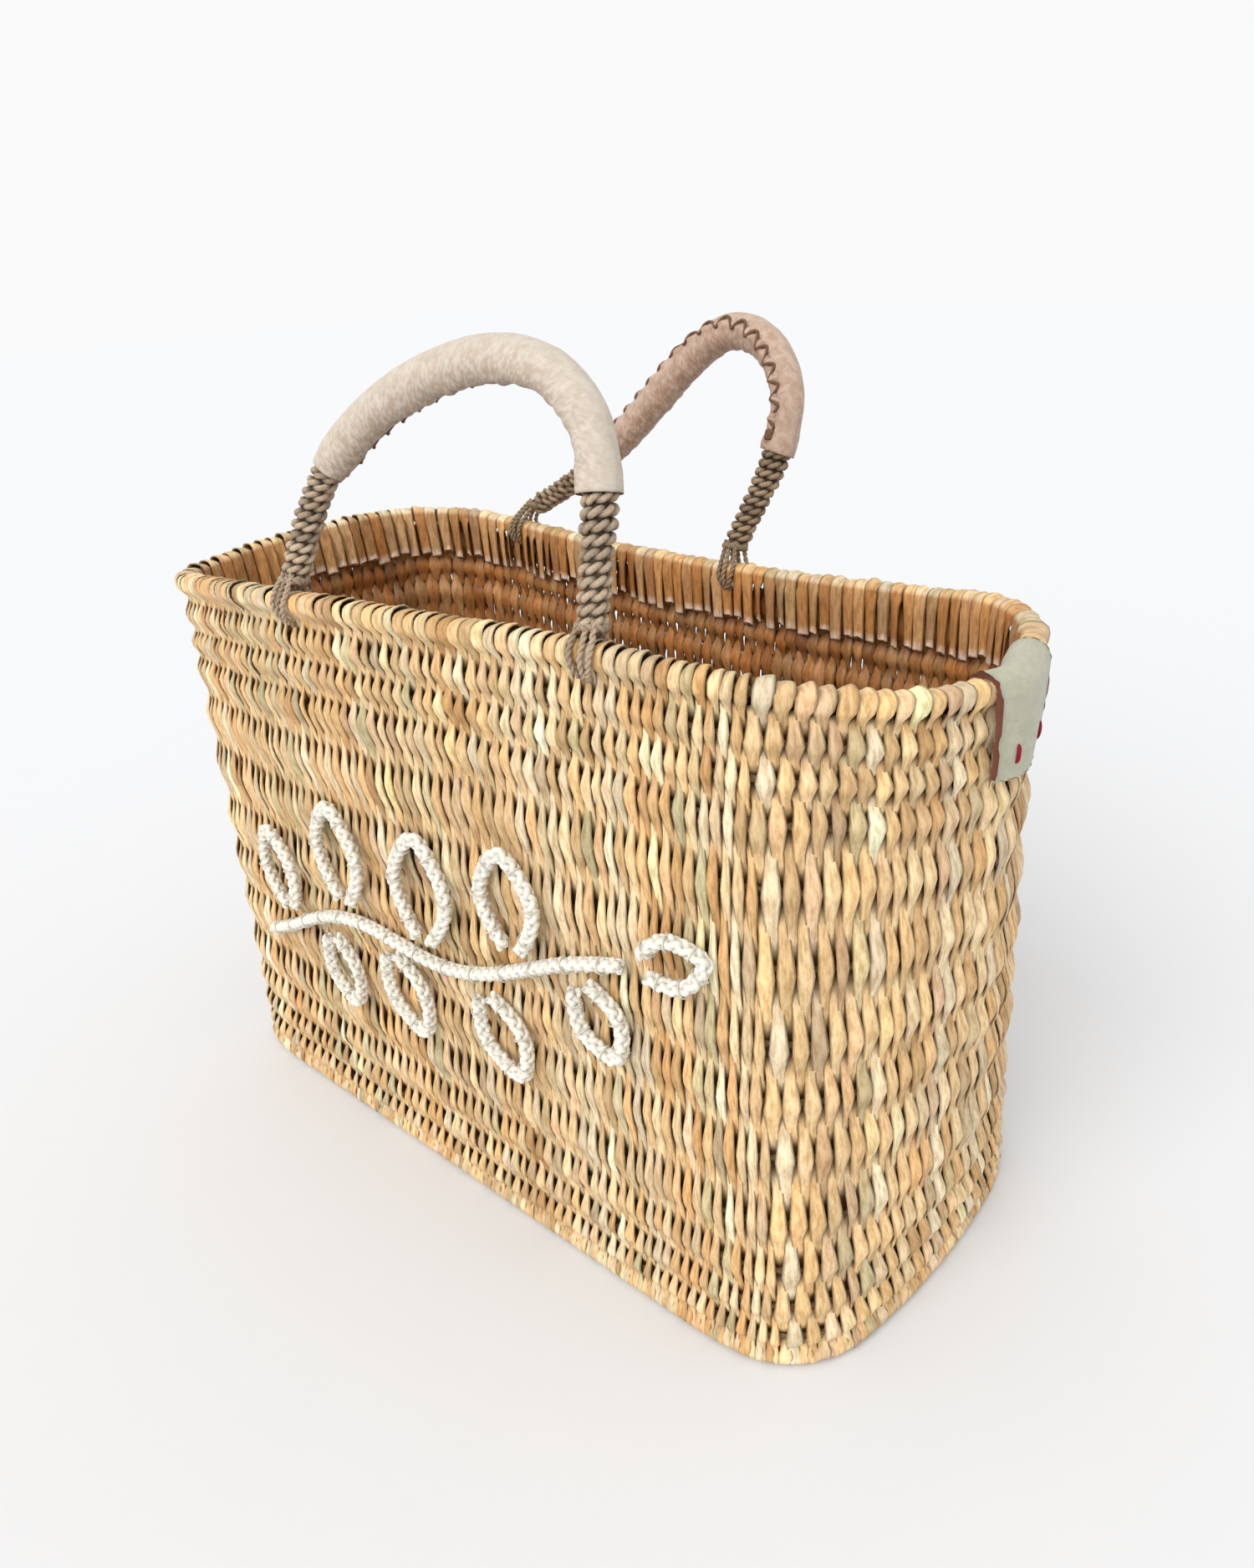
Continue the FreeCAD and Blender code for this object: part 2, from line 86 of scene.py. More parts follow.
# ------------ the basket's surface
def outline(half_length, half_width, radii, bows):
    """Plan points of a rectangle with rounded corners and bowed sides, from the front left."""
    fl, fr, br, bl = radii
    a, b = half_length, half_width
    sides = [
        ((-a + fl, -b), (a - fr, -b), (0, -1)),
        ((a, -b + fr), (a, b - br), (1, 0)),
        ((a - br, b), (-a + bl, b), (0, 1)),
        ((-a, b - bl), (-a, -b + fl), (-1, 0)),
    ]
    corners = [(a - fr, -b + fr, fr), (a - br, b - br, br), (-a + bl, b - bl, bl), (-a + fl, -b + fl, fl)]
    side_steps, corner_steps, smoothing = 40, 16, 12
    points = []
    for side in range(4):
        (x0, y0), (x1, y1), (nx, ny) = sides[side]
        for t in np.arange(side_steps) / side_steps:
            swell = 4 * t * (1 - t) * bows[side]
            points.append((x0 + (x1 - x0) * t + nx * swell, y0 + (y1 - y0) * t + ny * swell, 0))
        cx, cy, radius = corners[side]
        for turn in np.radians(-90 + 90 * side + 90 * np.arange(corner_steps) / corner_steps):
            points.append((cx + radius * math.cos(turn), cy + radius * math.sin(turn), 0))
    points = np.array(points)
    for _ in range(smoothing):
        points = points * 0.5 + (np.roll(points, 1, axis=0) + np.roll(points, -1, axis=0)) * 0.25
    return points


def rim_outline():
    front, right, back, left = RIM_LIFTS
    points = outline(RIM_HALF_LENGTH, RIM_HALF_WIDTH, RIM_RADII, RIM_BOWS)
    u = np.clip(points[:, 0] / RIM_HALF_LENGTH, -1, 1)
    w = np.clip(points[:, 1] / RIM_HALF_WIDTH, -1, 1)
    long_side = front * np.maximum(-w, 0) ** 2 + back * np.maximum(w, 0) ** 2
    end = right * np.maximum(u, 0) ** 4 + left * np.maximum(-u, 0) ** 4
    rise = long_side * (1 - u * u) + end * (1 - w * w) + RIM_TILT * u + RIM_TWIST * u * w
    return np.stack([points[:, 0] + RIM_SHIFT[0], points[:, 1] + RIM_SHIFT[1], RIM_HEIGHT + rise], axis=1)


def reach_along(points):
    """The distance along a line of points, at each point."""
    return np.concatenate([[0], np.cumsum(np.linalg.norm(np.diff(points, axis=0), axis=1))])


def between(places, reach, points):
    """Points at the given places of a line whose points lie at the distances in reach."""
    return np.stack([np.interp(places, reach, points[:, i]) for i in range(3)], axis=-1)


class Track:
    """A closed line of points.  Stations 0 to 1 are the front, 1 to 2 the right end, 2 to 3 the back
    and 3 to 4 the left end."""

    def __init__(self, points, seams):
        self.points = np.vstack([points, points[:1]])
        self.reach = reach_along(self.points)
        marks = [self.reach[np.argmin(np.hypot(points[:, 0] - x, points[:, 1] - y))] for x, y in seams]
        while marks[0] > marks[1]:
            marks[0] -= self.reach[-1]
        self.marks = np.array(marks + [marks[0] + self.reach[-1]])

    def at(self, stations):
        side = np.floor(stations).astype(int) % 4
        part = stations - np.floor(stations)
        along = (self.marks[side] + (self.marks[side + 1] - self.marks[side]) * part) % self.reach[-1]
        return between(along, self.reach, self.points)


INSET = WALL / 2
INNER_RADII = [radius - INSET for radius in BASE_RADII]
BASE_TRACK = Track(
    outline(BASE_HALF_LENGTH - INSET, BASE_HALF_WIDTH - INSET, INNER_RADII, BASE_BOWS),
    [(-168, -91), (166, -86), (168, 86), (-168, 86)],
)
RIM_TRACK = Track(rim_outline(), [(-166, -86), (144, -72), (162, 62), (-162, 62)])


def unit(v):
    return v / np.linalg.norm(v, axis=-1, keepdims=True)


def wall(stations, heights, offsets=0.0):
    """Points of the wall's middle surface moved outward, the outward directions, and millimetres
    per unit of station there."""
    stations, heights, offsets = np.broadcast_arrays(np.asarray(stations, float), heights, offsets)
    share = (heights / RIM_HEIGHT)[..., None]
    step = 0.004

    def middle(s):
        low, high = BASE_TRACK.at(s), RIM_TRACK.at(s)
        return low + (high - low) * share

    along = middle(stations + step) - middle(stations - step)
    outward = unit(np.stack([along[..., 1], -along[..., 0], np.zeros(stations.shape)], axis=-1))
    reach = np.linalg.norm(along, axis=-1) / (2 * step)
    return middle(stations) + outward * offsets[..., None], outward, reach


def circle(u, v, turn):
    """Places on the unit circle in the plane of directions u and v."""
    return u * np.cos(turn)[..., None] + v * np.sin(turn)[..., None]


def uv_grid(across, along):
    return np.stack(np.broadcast_arrays(across, along), axis=-1)


def smooth(x):
    x = np.clip(x, 0, 1)
    return x * x * (3 - 2 * x)


# ------------ mesh tools
link = bpy.context.scene.collection.objects.link


def mesh_object(name, parts, materials, body, nodes):
    """One object from parts of (vertices in mm, quads, uv, tint, material index)."""
    vertices, quads, uvs, tints, kinds = [], [], [], [], []
    start = 0
    for verts, faces, uv, tint, kind in parts:
        vertices.append(verts.reshape(-1, 3))
        quads.append(np.asarray(faces).reshape(-1, 4) + start)
        uvs.append(np.asarray(uv).reshape(-1, 2))
        tints.append(np.broadcast_to(tint, verts.shape).reshape(-1, 3))
        kinds.append(np.full(len(quads[-1]), kind))
        start += len(vertices[-1])
    vertices, quads = np.vstack(vertices) * MM, np.vstack(quads)
    uvs, tints, kinds = np.vstack(uvs), np.vstack(tints), np.concatenate(kinds)
    # A quad whose last two corners are the same is a triangle.
    three = quads[:, 2] == quads[:, 3]
    sizes = np.where(three, 3, 4)
    flat = quads[np.arange(4)[None, :] < sizes[:, None]]
    mesh = bpy.data.meshes.new(name)
    mesh.vertices.add(len(vertices))
    mesh.vertices.foreach_set("co", vertices.ravel())
    mesh.loops.add(len(flat))
    mesh.loops.foreach_set("vertex_index", flat.astype(np.int32))
    mesh.polygons.add(len(quads))
    mesh.polygons.foreach_set("loop_start", np.concatenate([[0], np.cumsum(sizes)[:-1]]).astype(np.int32))
    mesh.polygons.foreach_set("material_index", kinds.astype(np.int32))
    mesh.polygons.foreach_set("use_smooth", np.ones(len(quads), bool))
    mesh.uv_layers.new(name="UVMap").data.foreach_set("uv", uvs[flat].astype(np.float32).ravel())
    colours = np.concatenate([np.clip(tints, 0, 1), np.ones((len(tints), 1))], axis=1)
    tint_layer = mesh.color_attributes.new("tint", "FLOAT_COLOR", "POINT")
    tint_layer.data.foreach_set("color", colours.astype(np.float32).ravel())
    mesh.update(calc_edges=True)
    mesh.validate()
    obj = bpy.data.objects.new(name, mesh)
    link(obj)
    for material in materials:
        mesh.materials.append(material)
    if body:
        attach(obj, body)
    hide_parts(*nodes)
    return obj


def ring_quads(lines, rings, around):
    """Quads of closed sections: vertices are ordered by line, then ring, then place around."""
    i = np.arange(lines)[:, None, None] * rings * around
    r = np.arange(rings - 1)[None, :, None]
    k = np.arange(around)[None, None, :]
    here, after, beside = i + r * around, i + (r + 1) * around, (k + 1) % around
    corners = (here + k, here + beside, after + beside, after + k)
    return np.stack(np.broadcast_arrays(*corners), axis=-1).reshape(-1, 4)


def cap_quads(lines, rings, around, ring):
    """Flat caps over one ring of each line, fanned from its first point."""
    base = np.arange(lines)[:, None] * rings * around + ring * around
    caps = []
    for k in range(1, around - 1, 2):
        last = min(k + 2, around - 1)
        quad = (base, base + k, base + k + 1, base + last)
        caps.append(np.concatenate(quad, axis=1))
    return np.concatenate(caps)


def frames(points):
    """Tangents and a steady pair of cross directions along one line of points."""
    tangents = unit(np.gradient(points, axis=0))
    first = np.cross(tangents[0], UP)
    if np.linalg.norm(first) < 0.2:
        first = np.cross(tangents[0], [1.0, 0.0, 0.0])
    sides = [first / np.linalg.norm(first)]
    for t in tangents[1:]:
        s = sides[-1] - t * sides[-1].dot(t)
        sides.append(s / np.linalg.norm(s))
    sides = np.array(sides)
    return tangents, sides, np.cross(tangents, sides)


def round_strand(points, radius, around=6, tint=(1, 1, 1), grain=10.0, shift=0.0):
    """A part for mesh_object: a round strand along a line of points, capped at both ends."""
    _, side, other = frames(points)
    radius = np.broadcast_to(radius, len(points))
    turns = 2 * np.pi * np.arange(around) / around
    verts = points[:, None] + circle(side[:, None], other[:, None], turns[None]) * radius[:, None, None]
    reach = reach_along(points)
    uv = uv_grid(turns[None] / (2 * np.pi) + shift, reach[:, None] / grain)
    faces = [ring_quads(1, len(points), around)]
    faces += [cap_quads(1, len(points), around, end) for end in (0, len(points) - 1)]
    tint = np.broadcast_to(np.atleast_2d(tint)[:, None], verts.shape)
    return verts, np.vstack(faces), uv, tint, 0


def route_line(points, step):
    """Evenly spaced points of the smooth curve that a route's points control."""
    curve = bpy.data.curves.new("route", "CURVE")
    curve.dimensions = "3D"
    curve.resolution_u = 24
    spline = curve.splines.new("NURBS")
    spline.points.add(len(points) - 1)
    for place, point in zip(spline.points, points):
        place.co = (*point, 1)
    spline.order_u = 3
    spline.use_endpoint_u = True
    holder = bpy.data.objects.new("route", curve)
    mesh = bpy.data.meshes.new_from_object(holder)
    line = np.array([v.co for v in mesh.vertices])
    bpy.data.objects.remove(holder)
    bpy.data.curves.remove(curve)
    bpy.data.meshes.remove(mesh)
    return even(line, step)


def even(line, step):
    reach = reach_along(line)
    places = np.linspace(0, reach[-1], max(int(reach[-1] / step) + 1, 3))
    return between(places, reach, line)


# ------------ materials
class Shader:
    """A Principled material and the few node steps its surface is made with."""

    def __init__(self, name, roughness, specular=0.4):
        self.material = bpy.data.materials.new(name)
        self.material.use_nodes = True
        self.nodes, self.links = self.material.node_tree.nodes, self.material.node_tree.links
        self.surface = self.nodes["Principled BSDF"]
        self.surface.inputs["Roughness"].default_value = roughness
        self.surface.inputs["Specular IOR Level"].default_value = specular
        self.uv = self.nodes.new("ShaderNodeTexCoord").outputs["UV"]

    def add(self, kind, numbers, links):
        """A new node with the given numbers in its inputs and links into them."""
        node = self.nodes.new("ShaderNode" + kind)
        for key, number in numbers.items():
            node.inputs[key].default_value = number
        for key, source in links.items():
            self.links.new(source, node.inputs[key])
        return node

    def noise(self, scale, detail=4.0, roughness=0.6, distortion=0.0):
        place = self.add("Mapping", {"Scale": scale}, {"Vector": self.uv}).outputs["Vector"]
        numbers = {"Scale": 1.0, "Detail": detail, "Roughness": roughness, "Distortion": distortion}
        return self.add("TexNoise", numbers, {"Vector": place}).outputs["Fac"]

    def band(self, value, low, high, to_low=0.0, to_high=1.0):
        numbers = {"From Min": low, "From Max": high, "To Min": to_low, "To Max": to_high}
        node = self.add("MapRange", numbers, {"Value": value})
        node.interpolation_type = "SMOOTHSTEP"
        return node.outputs["Result"]

    def mix(self, factor, first, second, blend="MIX"):
        node = self.nodes.new("ShaderNodeMix")
        node.data_type = "RGBA"
        node.blend_type = blend
        for key, value in ((0, factor), (6, first), (7, second)):
            if isinstance(value, (int, float)):
                node.inputs[key].default_value = value
            elif isinstance(value, tuple):
                node.inputs[key].default_value = (*value, 1)
            else:
                self.links.new(value, node.inputs[key])
        return node.outputs[2]

    def tint(self):
        node = self.nodes.new("ShaderNodeVertexColor")
        node.layer_name = "tint"
        return node.outputs["Color"]

    def bump(self, *layers):
        """Layers of (height, strength, depth in mm)."""
        under = {}
        for height, strength, depth in layers:
            numbers = {"Strength": strength, "Distance": depth * MM}
            node = self.add("Bump", numbers, {"Height": height, **under})
            under = {"Normal": node.outputs["Normal"]}
        self.links.new(under["Normal"], self.surface.inputs["Normal"])

    def finish(self, colour, roughness=None):
        self.links.new(colour, self.surface.inputs["Base Color"])
        if roughness:
            self.links.new(roughness, self.surface.inputs["Roughness"])
        return self.material


def reed_material():
    s = Shader("reed", 0.5, 0.35)
    streaks = s.noise((9, 1.4, 1), 5, 0.65)
    fibres = s.noise((42, 2.0, 1), 3, 0.6)
    spots = s.noise((7, 9.0, 1), 4, 0.7, 0.6)
    colour = s.mix(s.band(streaks, 0.34, 0.62), (0.66, 0.58, 0.48), (1.0, 1.0, 1.0))
    colour = s.mix(0.45, colour, s.mix(fibres, (0.62, 0.56, 0.48), (1.0, 1.0, 1.0)), "MULTIPLY")
    colour = s.mix(1.0, s.tint(), colour, "MULTIPLY")
    colour = s.mix(s.band(spots, 0.66, 0.78, 0.0, 0.55), colour, (0.23, 0.12, 0.045))
    s.bump((streaks, 0.5, 0.5), (fibres, 0.45, 0.2))
    return s.finish(colour, s.band(streaks, 0.3, 0.7, 0.62, 0.42))


def cord_material(name, fuzz, roughness=0.85):
    s = Shader(name, roughness, 0.2)
    fibres = s.noise((8, 7.0, 1), 4, 0.7, 0.4)
    fine = s.noise((30, 5.0, 1), 3, 0.6)
    colour = s.mix(s.band(fibres, 0.3, 0.7), (1 - fuzz, 1 - fuzz, 1 - fuzz), (1.0, 1.0, 1.0))
    colour = s.mix(1.0, s.tint(), colour, "MULTIPLY")
    colour = s.mix(s.band(fine, 0.6, 0.75, 0.0, 0.4), colour, s.mix(0.6, colour, (0.1, 0.06, 0.03)))
    s.bump((fibres, 0.6, 0.5), (fine, 0.7, 0.25))
    return s.finish(colour)


def leather_material(name, colour, dark, wear, grain, roughness=0.62):
    s = Shader(name, roughness, 0.35)
    s.surface.inputs["Sheen Weight"].default_value = 0.15
    cloud = s.noise((2.2, 2.2, 1), 4, 0.6, 0.5)
    pores = s.noise((grain, grain, 1), 5, 0.7)
    creases = s.noise((2.0, 9.0, 1), 4, 0.6, 1.2)
    base = s.mix(s.band(cloud, 0.3, 0.7), dark, colour)
    base = s.mix(s.band(creases, 0.52, 0.7, 0.0, 0.4), base, wear)
    base = s.mix(0.25, base, s.mix(pores, (0.5, 0.5, 0.5), (1.0, 1.0, 1.0)), "MULTIPLY")
    base = s.mix(1.0, base, s.tint(), "MULTIPLY")
    s.bump((creases, 0.35, 0.6), (pores, 0.45, 0.25))
    return s.finish(base, s.band(pores, 0.3, 0.7, roughness - 0.1, roughness + 0.12))


def edge_material():
    s = Shader("leather_cut_edge", 0.6, 0.3)
    fibres = s.noise((30, 30, 1), 4, 0.7)
    s.bump((fibres, 0.6, 0.3))
    return s.finish(s.mix(fibres, (0.10, 0.035, 0.022), (0.22, 0.075, 0.045)))


def floor_material():
    s = Shader("studio_floor", 1.0, 0.0)
    paper = s.noise((400, 400, 1), 3, 0.6)
    s.bump((paper, 0.05, 0.1))
    return s.finish(s.mix(paper, (0.70, 0.705, 0.715), (0.71, 0.715, 0.725)))


REED = reed_material()
CORE_CORD = cord_material("foundation_cord", 0.45)
SEAGRASS = cord_material("seagrass_cord", 0.4)
COTTON = cord_material("cotton_cord", 0.14, 0.9)
THREAD = cord_material("thread", 0.3, 0.6)
BEIGE = leather_material("leather_beige", (0.62, 0.545, 0.455), (0.53, 0.45, 0.365), (0.68, 0.61, 0.53), 34)
TAN = leather_material("leather_tan", (0.56, 0.41, 0.315), (0.41, 0.27, 0.19), (0.64, 0.52, 0.43), 34)
SAGE = leather_material("leather_sage", (0.47, 0.46, 0.34), (0.40, 0.395, 0.29), (0.52, 0.50, 0.38), 46, 0.5)
EDGE = edge_material()


# ------------ reeds
PALETTE = np.array([
    (0.84, 0.58, 0.29), (0.88, 0.68, 0.40), (0.78, 0.49, 0.22), (0.93, 0.80, 0.57),
    (0.66, 0.38, 0.15), (0.60, 0.54, 0.32), (0.80, 0.55, 0.34),
])
PALETTE_SHARES = (0.24, 0.22, 0.17, 0.16, 0.08, 0.05, 0.08)
INSIDE_PAINTED_SHADE = (0.60, 0.385, 0.235)     # painted shade: the basket's inside is darkened to orange brown
# painted shade of the basket's inside on the reed tails that hang down within the rim
TAIL_PAINTED_SHADE = (0.72, 0.52, 0.36)
CUT_END = np.array((0.86, 0.70, 0.58))
AMPLITUDE = 2.5               # how far a reed swings to each side of the foundation cords
UNDER = 2.6                   # radius of its turn from under the base into the wall
HALF_THICK = 0.95
FOLD_RADIUS = RIM_ROLL / 2 - HALF_THICK + 0.3
FOLD_SQUARENESS = 0.72        # under 1, the fold over the rim is squarer than a circle
TAIL = 21.0                   # reed end that hangs down inside the rim
# Outline of a reed's section, in half widths and half thicknesses.
SECTION = np.array([
    (-1, 0), (-0.66, 0.72), (0, 1), (0.66, 0.72), (1, 0), (0.66, -0.72), (0, -1), (-0.66, -0.72),
])
SECTION_X, SECTION_Y = SECTION.T

# A reed's phase goes up by one from each foundation cord to the next.  It runs from under the base up
# the wall, over the rim in a fold and down inside it as a tail.
LEVELS = np.array([4.2, *ROW_HEIGHTS, RIM_HEIGHT])
LAST = len(LEVELS) - 1
PER_ROW = 7
LOW_TURNS = np.radians([-90, -60, -30])
WEAVE = np.arange(LAST * PER_ROW + 1) / PER_ROW
ARC = np.radians(np.linspace(22.5, 180, 8))
DROPS = TAIL * np.array([0.10, 0.30, 0.52, 0.74, 0.90, 1.0])
PHASES = np.concatenate([np.linspace(-0.9, -0.15, 5), WEAVE, LAST + ARC / np.pi, LAST + 1 + DROPS / 30])
FIRST_RING = 5
FOLD_RING = FIRST_RING + len(WEAVE)
TAIL_RING = FOLD_RING + len(ARC)


def reed_tones(rng, count, phases):
    """A colour for each reed at each phase: its own tone, varied from float to float."""
    own = PALETTE[rng.choice(len(PALETTE), count, p=PALETTE_SHARES)]
    other = PALETTE[rng.choice(len(PALETTE), (count, LAST + 2), p=PALETTE_SHARES)]
    share = rng.uniform(0, 0.6, (count, LAST + 2, 1))
    bright = rng.normal(1.0, 0.13, (count, LAST + 2, 1)) * rng.normal(1.0, 0.08, (count, 1, 1))
    knots = (own[:, None] * (1 - share) + other * share) * bright
    place = np.clip(phases, 0, LAST)
    low = np.clip(np.floor(place).astype(int), 0, LAST)
    part = (place - low)[None, :, None]
    part = smooth((part - 0.5) * 1.6 + 0.5)
    return knots[:, low] * (1 - part) + knots[:, np.minimum(low + 1, LAST + 1)] * part


def wander(rng, count, phases, size):
    """A slow random drift along each reed."""
    knots = rng.normal(0, size, (count, LAST + 3))
    place = np.clip(phases + 1, 0, LAST + 2)
    low = np.minimum(np.floor(place).astype(int), LAST + 1)
    part = smooth(place - low)[None]
    return knots[:, low] * (1 - part) + knots[:, low + 1] * part


def reed_paths(rng, side, stations, parity, folded):
    """Middle lines of one side's reeds with the outward directions, their offsets from the wall's
    middle, and the room that each reed has beside its neighbours."""
    count = len(stations)
    swung = np.cos(np.pi * WEAVE)
    over = parity * (np.sign(swung) * np.abs(swung) ** 1.9)[None]
    settle = smooth(WEAVE / 0.9)[None]
    swing = AMPLITUDE + (FOLD_RADIUS - AMPLITUDE) * smooth(WEAVE - LAST + 1)[None] * folded[:, None]
    offsets = np.zeros((count, len(PHASES)))
    offsets[:, :FIRST_RING] = np.concatenate([[-9.0, -4.5], UNDER * np.cos(LOW_TURNS)])
    offsets[:, FIRST_RING:FOLD_RING] = UNDER * (1 - settle) + swing * over * settle
    radius = FOLD_RADIUS + rng.uniform(0, 0.9, (count, 1)) ** 2 * np.sin(ARC)
    flank = np.sign(np.cos(ARC)) * np.abs(np.cos(ARC)) ** FOLD_SQUARENESS
    offsets[:, FOLD_RING:TAIL_RING] = radius * flank
    offsets[:, TAIL_RING:] = -FOLD_RADIUS - 0.4 - rng.uniform(0.5, 1.5, (count, 1)) * DROPS / TAIL

    # The rows wave a little, and each reed lies a little high or low in them.
    calm = np.maximum(np.sin(np.pi * WEAVE / LAST), 0)[None] ** 0.7
    place = stations[:, None]
    drift = np.sin(9.0 * place + 0.9 * WEAVE[None] + side) + 0.6 * np.sin(23.0 * place)
    bob = rng.normal(0, 0.75, (count, 1)) + 1.1 * drift
    heights = np.zeros_like(offsets)
    heights[:, :FIRST_RING] = np.concatenate([[1.25, 1.25], LEVELS[0] + UNDER * np.sin(LOW_TURNS)])
    heights[:, FIRST_RING:FOLD_RING] = np.interp(WEAVE, np.arange(LAST + 1), LEVELS)[None] + bob * calm
    heights[:, FOLD_RING:] = RIM_HEIGHT
    heights[:, TAIL_RING:] -= DROPS * rng.normal(1.0, 0.06, (count, 1))
    rise = np.zeros_like(offsets)
    rise[:, FOLD_RING:TAIL_RING] = radius * np.maximum(np.sin(ARC), 0) ** FOLD_SQUARENESS

    sway = wander(rng, count, PHASES, 0.22) + 0.3 * np.sin(np.pi * PHASES)[None] * parity
    slope = 0.9 * np.sin(np.pi * (PHASES[FOLD_RING:] - LAST) / 2)
    sway[:, FOLD_RING:] = sway[:, FOLD_RING - 1:FOLD_RING] + slope[None]
    steady, _, reach = wall(place, heights, offsets)
    room = np.linalg.norm(np.gradient(steady, axis=0), axis=2)
    # A reed at either end of the row has a neighbour on one side only.
    room[0], room[-1] = room[2], room[-3]
    centres, outward, _ = wall(place + sway / reach, heights, offsets)
    return centres + UP * rise[..., None], outward, offsets, room


def reed_skins(rng, centres, outward, offsets, room, parity):
    """Rings of vertices round the middle lines.  A float is widest over its cord and narrows to the
    crossings, so that the floats tile as diamonds."""
    count = len(centres)
    wave = np.cos(2 * np.pi * PHASES)[None]
    peak = 1 - 2 * np.abs(PHASES - np.round(PHASES))[None]
    half = room * (0.60 + 0.44 * peak) * rng.normal(1.0, 0.04, (count, 1))
    half *= 1 + 0.26 * smooth(-2 * offsets / AMPLITUDE)
    start = FIRST_RING + 3
    half[:, :start] = room[:, :start] * np.linspace(0.58, 0.80, start)
    half[:, FOLD_RING - 2:] = room[:, FOLD_RING - 2:] * 1.07
    half[:, TAIL_RING:] *= np.linspace(1.0, 0.80, len(DROPS))
    thick = np.broadcast_to(HALF_THICK * (0.86 + 0.14 * wave), half.shape).copy()
    thick[:, FOLD_RING - 1:TAIL_RING] *= 0.85
    thick[:, TAIL_RING:] *= np.linspace(0.9, 1.25, len(DROPS))

    run = unit(np.gradient(centres, axis=1))
    normal = unit(np.cross(np.cross(UP, outward), run))
    across = np.cross(run, normal)
    twist = np.radians(rng.normal(0, 7, (count, 1)) + 13 * np.sin(np.pi * PHASES)[None] * parity)
    twist[:, TAIL_RING:] += np.radians(rng.normal(0, 14, (count, 1)))
    spun, stood = circle(across, normal, twist), circle(normal, -across, twist)

    # Some reeds are pressed flat along their middle.
    pressed = 1 - rng.choice([0.0, 0.0, 0.25, 0.5], count)[:, None, None] * (np.abs(SECTION_X) < 0.1)
    wide = (SECTION_X * half[..., None])[..., None]
    high = (SECTION_Y * thick[..., None] * pressed)[..., None]
    verts = centres[:, :, None] + spun[:, :, None] * wide + stood[:, :, None] * high
    # Their ends are cut at a slant, which shows the cut face to the inside.
    slant = (SECTION_Y + 1) / 2 * rng.uniform(1.2, 2.8, (count, 1))
    verts[:, -1] -= run[:, -1, None] * slant[..., None]
    return verts


def reed_tints(rng, offsets):
    """A colour for each vertex of each ring, with painted shade where a reed dives behind its neighbours,
    along its edges and on the basket's inside.
    """
    count = len(offsets)
    tones = reed_tones(rng, count, PHASES)
    tones[:, TAIL_RING - 2:] = tones[:, TAIL_RING - 3:TAIL_RING - 2]
    tint = np.broadcast_to(tones[:, :, None], (*tones.shape[:2], len(SECTION), 3)).copy()
    face = SECTION_Y[None, None]
    out = np.ones((*offsets.shape, 1))
    out[:, :FOLD_RING, 0] = np.clip(offsets[:, :FOLD_RING] / AMPLITUDE, -1, 1)
    # Painted shade: a face darkens as the reed swings behind the wall's middle, and the section's edges
    # darken between neighbours.
    shade = 0.26 + 0.74 * smooth((out * np.sign(face) + 0.95) / 0.85)
    shade = np.where(face == 0, 0.42 + 0.2 * np.abs(out), shade)
    tint *= shade[..., None]
    # Painted shade: the inward faces of the wall reeds, and reeds lying deep inside the wall, are darkened to
    # orange brown.
    in_wall = (np.arange(len(PHASES)) < FOLD_RING)[None, :, None]
    inner = ((face < 0) | (offsets[..., None] < -1.5)) & in_wall
    tint = np.where(inner[..., None], tint * INSIDE_PAINTED_SHADE, tint)
    # Painted shade on the tails, which hang inside the rim.
    tint[:, TAIL_RING - 2:] *= TAIL_PAINTED_SHADE
    tint[:, -2:] = tint[:, -2:] * 0.2 + CUT_END * 0.8
    return tint


def reed_side(side, count, spread, seed):
    """All reeds of one side as rings of vertices with uv and tint, from under the base to the cut end,
    and which of them fold over the rim."""
    rng = np.random.default_rng(seed)
    t = (np.arange(count) + 0.5) / count
    stations = side + 0.0015 + 0.997 * ((1 + spread) * t - spread * t * t)
    parity = np.where(np.arange(count) % 2 == 0, 1.0, -1.0)[:, None]
    folded = parity[:, 0] * math.cos(math.pi * LAST) > 0
    centres, outward, offsets, room = reed_paths(rng, side, stations, parity, folded)
    verts = reed_skins(rng, centres, outward, offsets, room, parity)
    tint = reed_tints(rng, offsets)
    steps = np.linalg.norm(np.diff(centres, axis=1), axis=2)
    reach = np.concatenate([np.zeros((count, 1)), np.cumsum(steps, axis=1)], axis=1)
    place = np.arange(len(SECTION)) / len(SECTION) + rng.uniform(0, 40, (count, 1, 1))
    return verts, uv_grid(place, reach[..., None] / 10), tint, folded


def reed_part(verts, uv, tint, cap_first=False):
    count, rings, around = verts.shape[:3]
    faces = [ring_quads(count, rings, around), cap_quads(count, rings, around, rings - 1)]
    if cap_first:
        faces.append(cap_quads(count, rings, around, 0))
    return verts, np.vstack(faces), uv, tint, 0


SIDES = (
    ("front_reeds", "front_wall_reeds", 120, 0.26),
    ("right_end_reeds_woven", "right_end_reeds", 50, 0.0),
    ("back_reeds", "back_wall_reeds", 116, -0.1),
    ("left_end_reeds_woven", "left_end_reeds", 50, 0.0),
)


def make_reeds():
    folds = []
    for side, (name, node, count, spread) in enumerate(SIDES):
        layers = reed_side(side, count, spread, 11 + side)
        folded = layers[3]
        parts = [
            reed_part(*(layer[folded, :FOLD_RING] for layer in layers[:3]), cap_first=True),
            reed_part(*(layer[~folded, :FOLD_RING - 2] for layer in layers[:3]), cap_first=True),
        ]
        mesh_object(name, parts, [REED], "basket", [node])
        folds.append(reed_part(*(layer[folded, FOLD_RING - 1:] for layer in layers[:3])))
    mesh_object("rim_folds", folds, [REED], "basket", ["rim_fold_reeds"])


